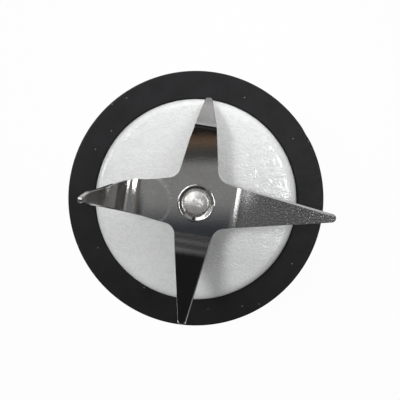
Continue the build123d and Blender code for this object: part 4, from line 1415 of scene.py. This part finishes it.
coupling_plastic, tree, shader = new_finish("coupling_plastic", roughness=0.42)
flow = spread(tree, grain(tree, FLOW_SIZE, detail=3.0, stretch=FLOW_STRETCH), 0.0, 1.0)
flow_tone = blend_colours(tree, flow, *COUPLING_BLACKS)
wire(tree, shader, flow_tone, spread(tree, flow, *COUPLING_ROUGHNESS, 0.0, 1.0))
relief(tree, shader, grain(tree, COUPLING_GRAIN), COUPLING_DEPTH)
dress(lobed_coupling, "rotor", [coupling_plastic], "drive_coupling")


# %% [markdown]
# ## Bearings out of sight
#
# The sleeve, bushes, felt, washers, clip, seal and insert are right as the frame has them. They only need
# their own materials: brass, oily bronze, felt, pale fibre and bright washer steel, each with a grain of
# its own. The seal takes the slinger's rubber.

# %% Finish the bearing set
ROUGHNESS_SWING = 0.07
BRASS_TONES = ((0.70, 0.50, 0.20), (0.80, 0.60, 0.28))
BRONZE_TONES = ((0.40, 0.24, 0.12), (0.56, 0.36, 0.19))
FELT_TONES = ((0.46, 0.42, 0.34), (0.66, 0.62, 0.52))
FIBRE_TONES = ((0.52, 0.36, 0.22), (0.64, 0.47, 0.30))
WASHER_TONES = ((0.56, 0.56, 0.55), (0.68, 0.68, 0.67))


def grained(name, roughness, metallic, tones, size, depth, stretch=EVEN):
    """Finish with two close tones, a roughness that follows them and a relief of the same grain."""
    material, tree, shader = new_finish(name, roughness, metallic)
    pattern = grain(tree, size, detail=4.0, stretch=stretch)
    tone = blend_colours(tree, spread(tree, pattern, 0.0, 1.0), *tones)
    wire(tree, shader, tone, spread(tree, pattern, roughness - ROUGHNESS_SWING, roughness + ROUGHNESS_SWING))
    relief(tree, shader, pattern, depth)
    return material


# Name, roughness, metallic share, tones, the grain's size and depth, and its stretch where it has one
bearing_finishes = [
    ("brass", 0.28, 1.0, BRASS_TONES, 0.5, 0.004, (1.0, 1.0, 0.1)),
    ("bronze", 0.4, 1.0, BRONZE_TONES, 0.25, 0.01),
    ("felt", 0.95, 0.0, FELT_TONES, 0.3, 0.08, (1.0, 3.0, 1.0)),
    ("fibre", 0.6, 0.0, FIBRE_TONES, 0.4, 0.01, (4.0, 1.0, 1.0)),
    ("washer_steel", 0.25, 1.0, WASHER_TONES, 0.3, 0.004),
]
brass, bronze, felt, fibre, washer_steel = (grained(*row) for row in bearing_finishes)
kept_nodes = {
    "bearing_sleeve": brass,
    "coupling_insert": brass,
    "upper_bush": bronze,
    "lower_bush": bronze,
    "oil_felt": felt,
    "upper_wear_washer": fibre,
    "lower_wear_washer": fibre,
    "upper_thrust_washer": washer_steel,
    "lower_thrust_washer": washer_steel,
    "retaining_ring": washer_steel,
    "shaft_seal": seal_rubber,
}
for name, finish in kept_nodes.items():
    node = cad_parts[name]
    node.data.materials.clear()
    node.data.materials.append(finish)
print("frame nodes with a finish of their own:", len(kept_nodes))


# %% [markdown]
# ## Both boxes
#
# The dressed unit must stay in the box of the imported solids, so both boxes are written down before the
# lesson ends.

# %% Write the sizes and finish
boxes = {"cad": cad_box, "visual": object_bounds()}
for name, (low, high) in boxes.items():
    print(name, "box, mm:", [round(v / MM, 2) for v in (*low, *high)])
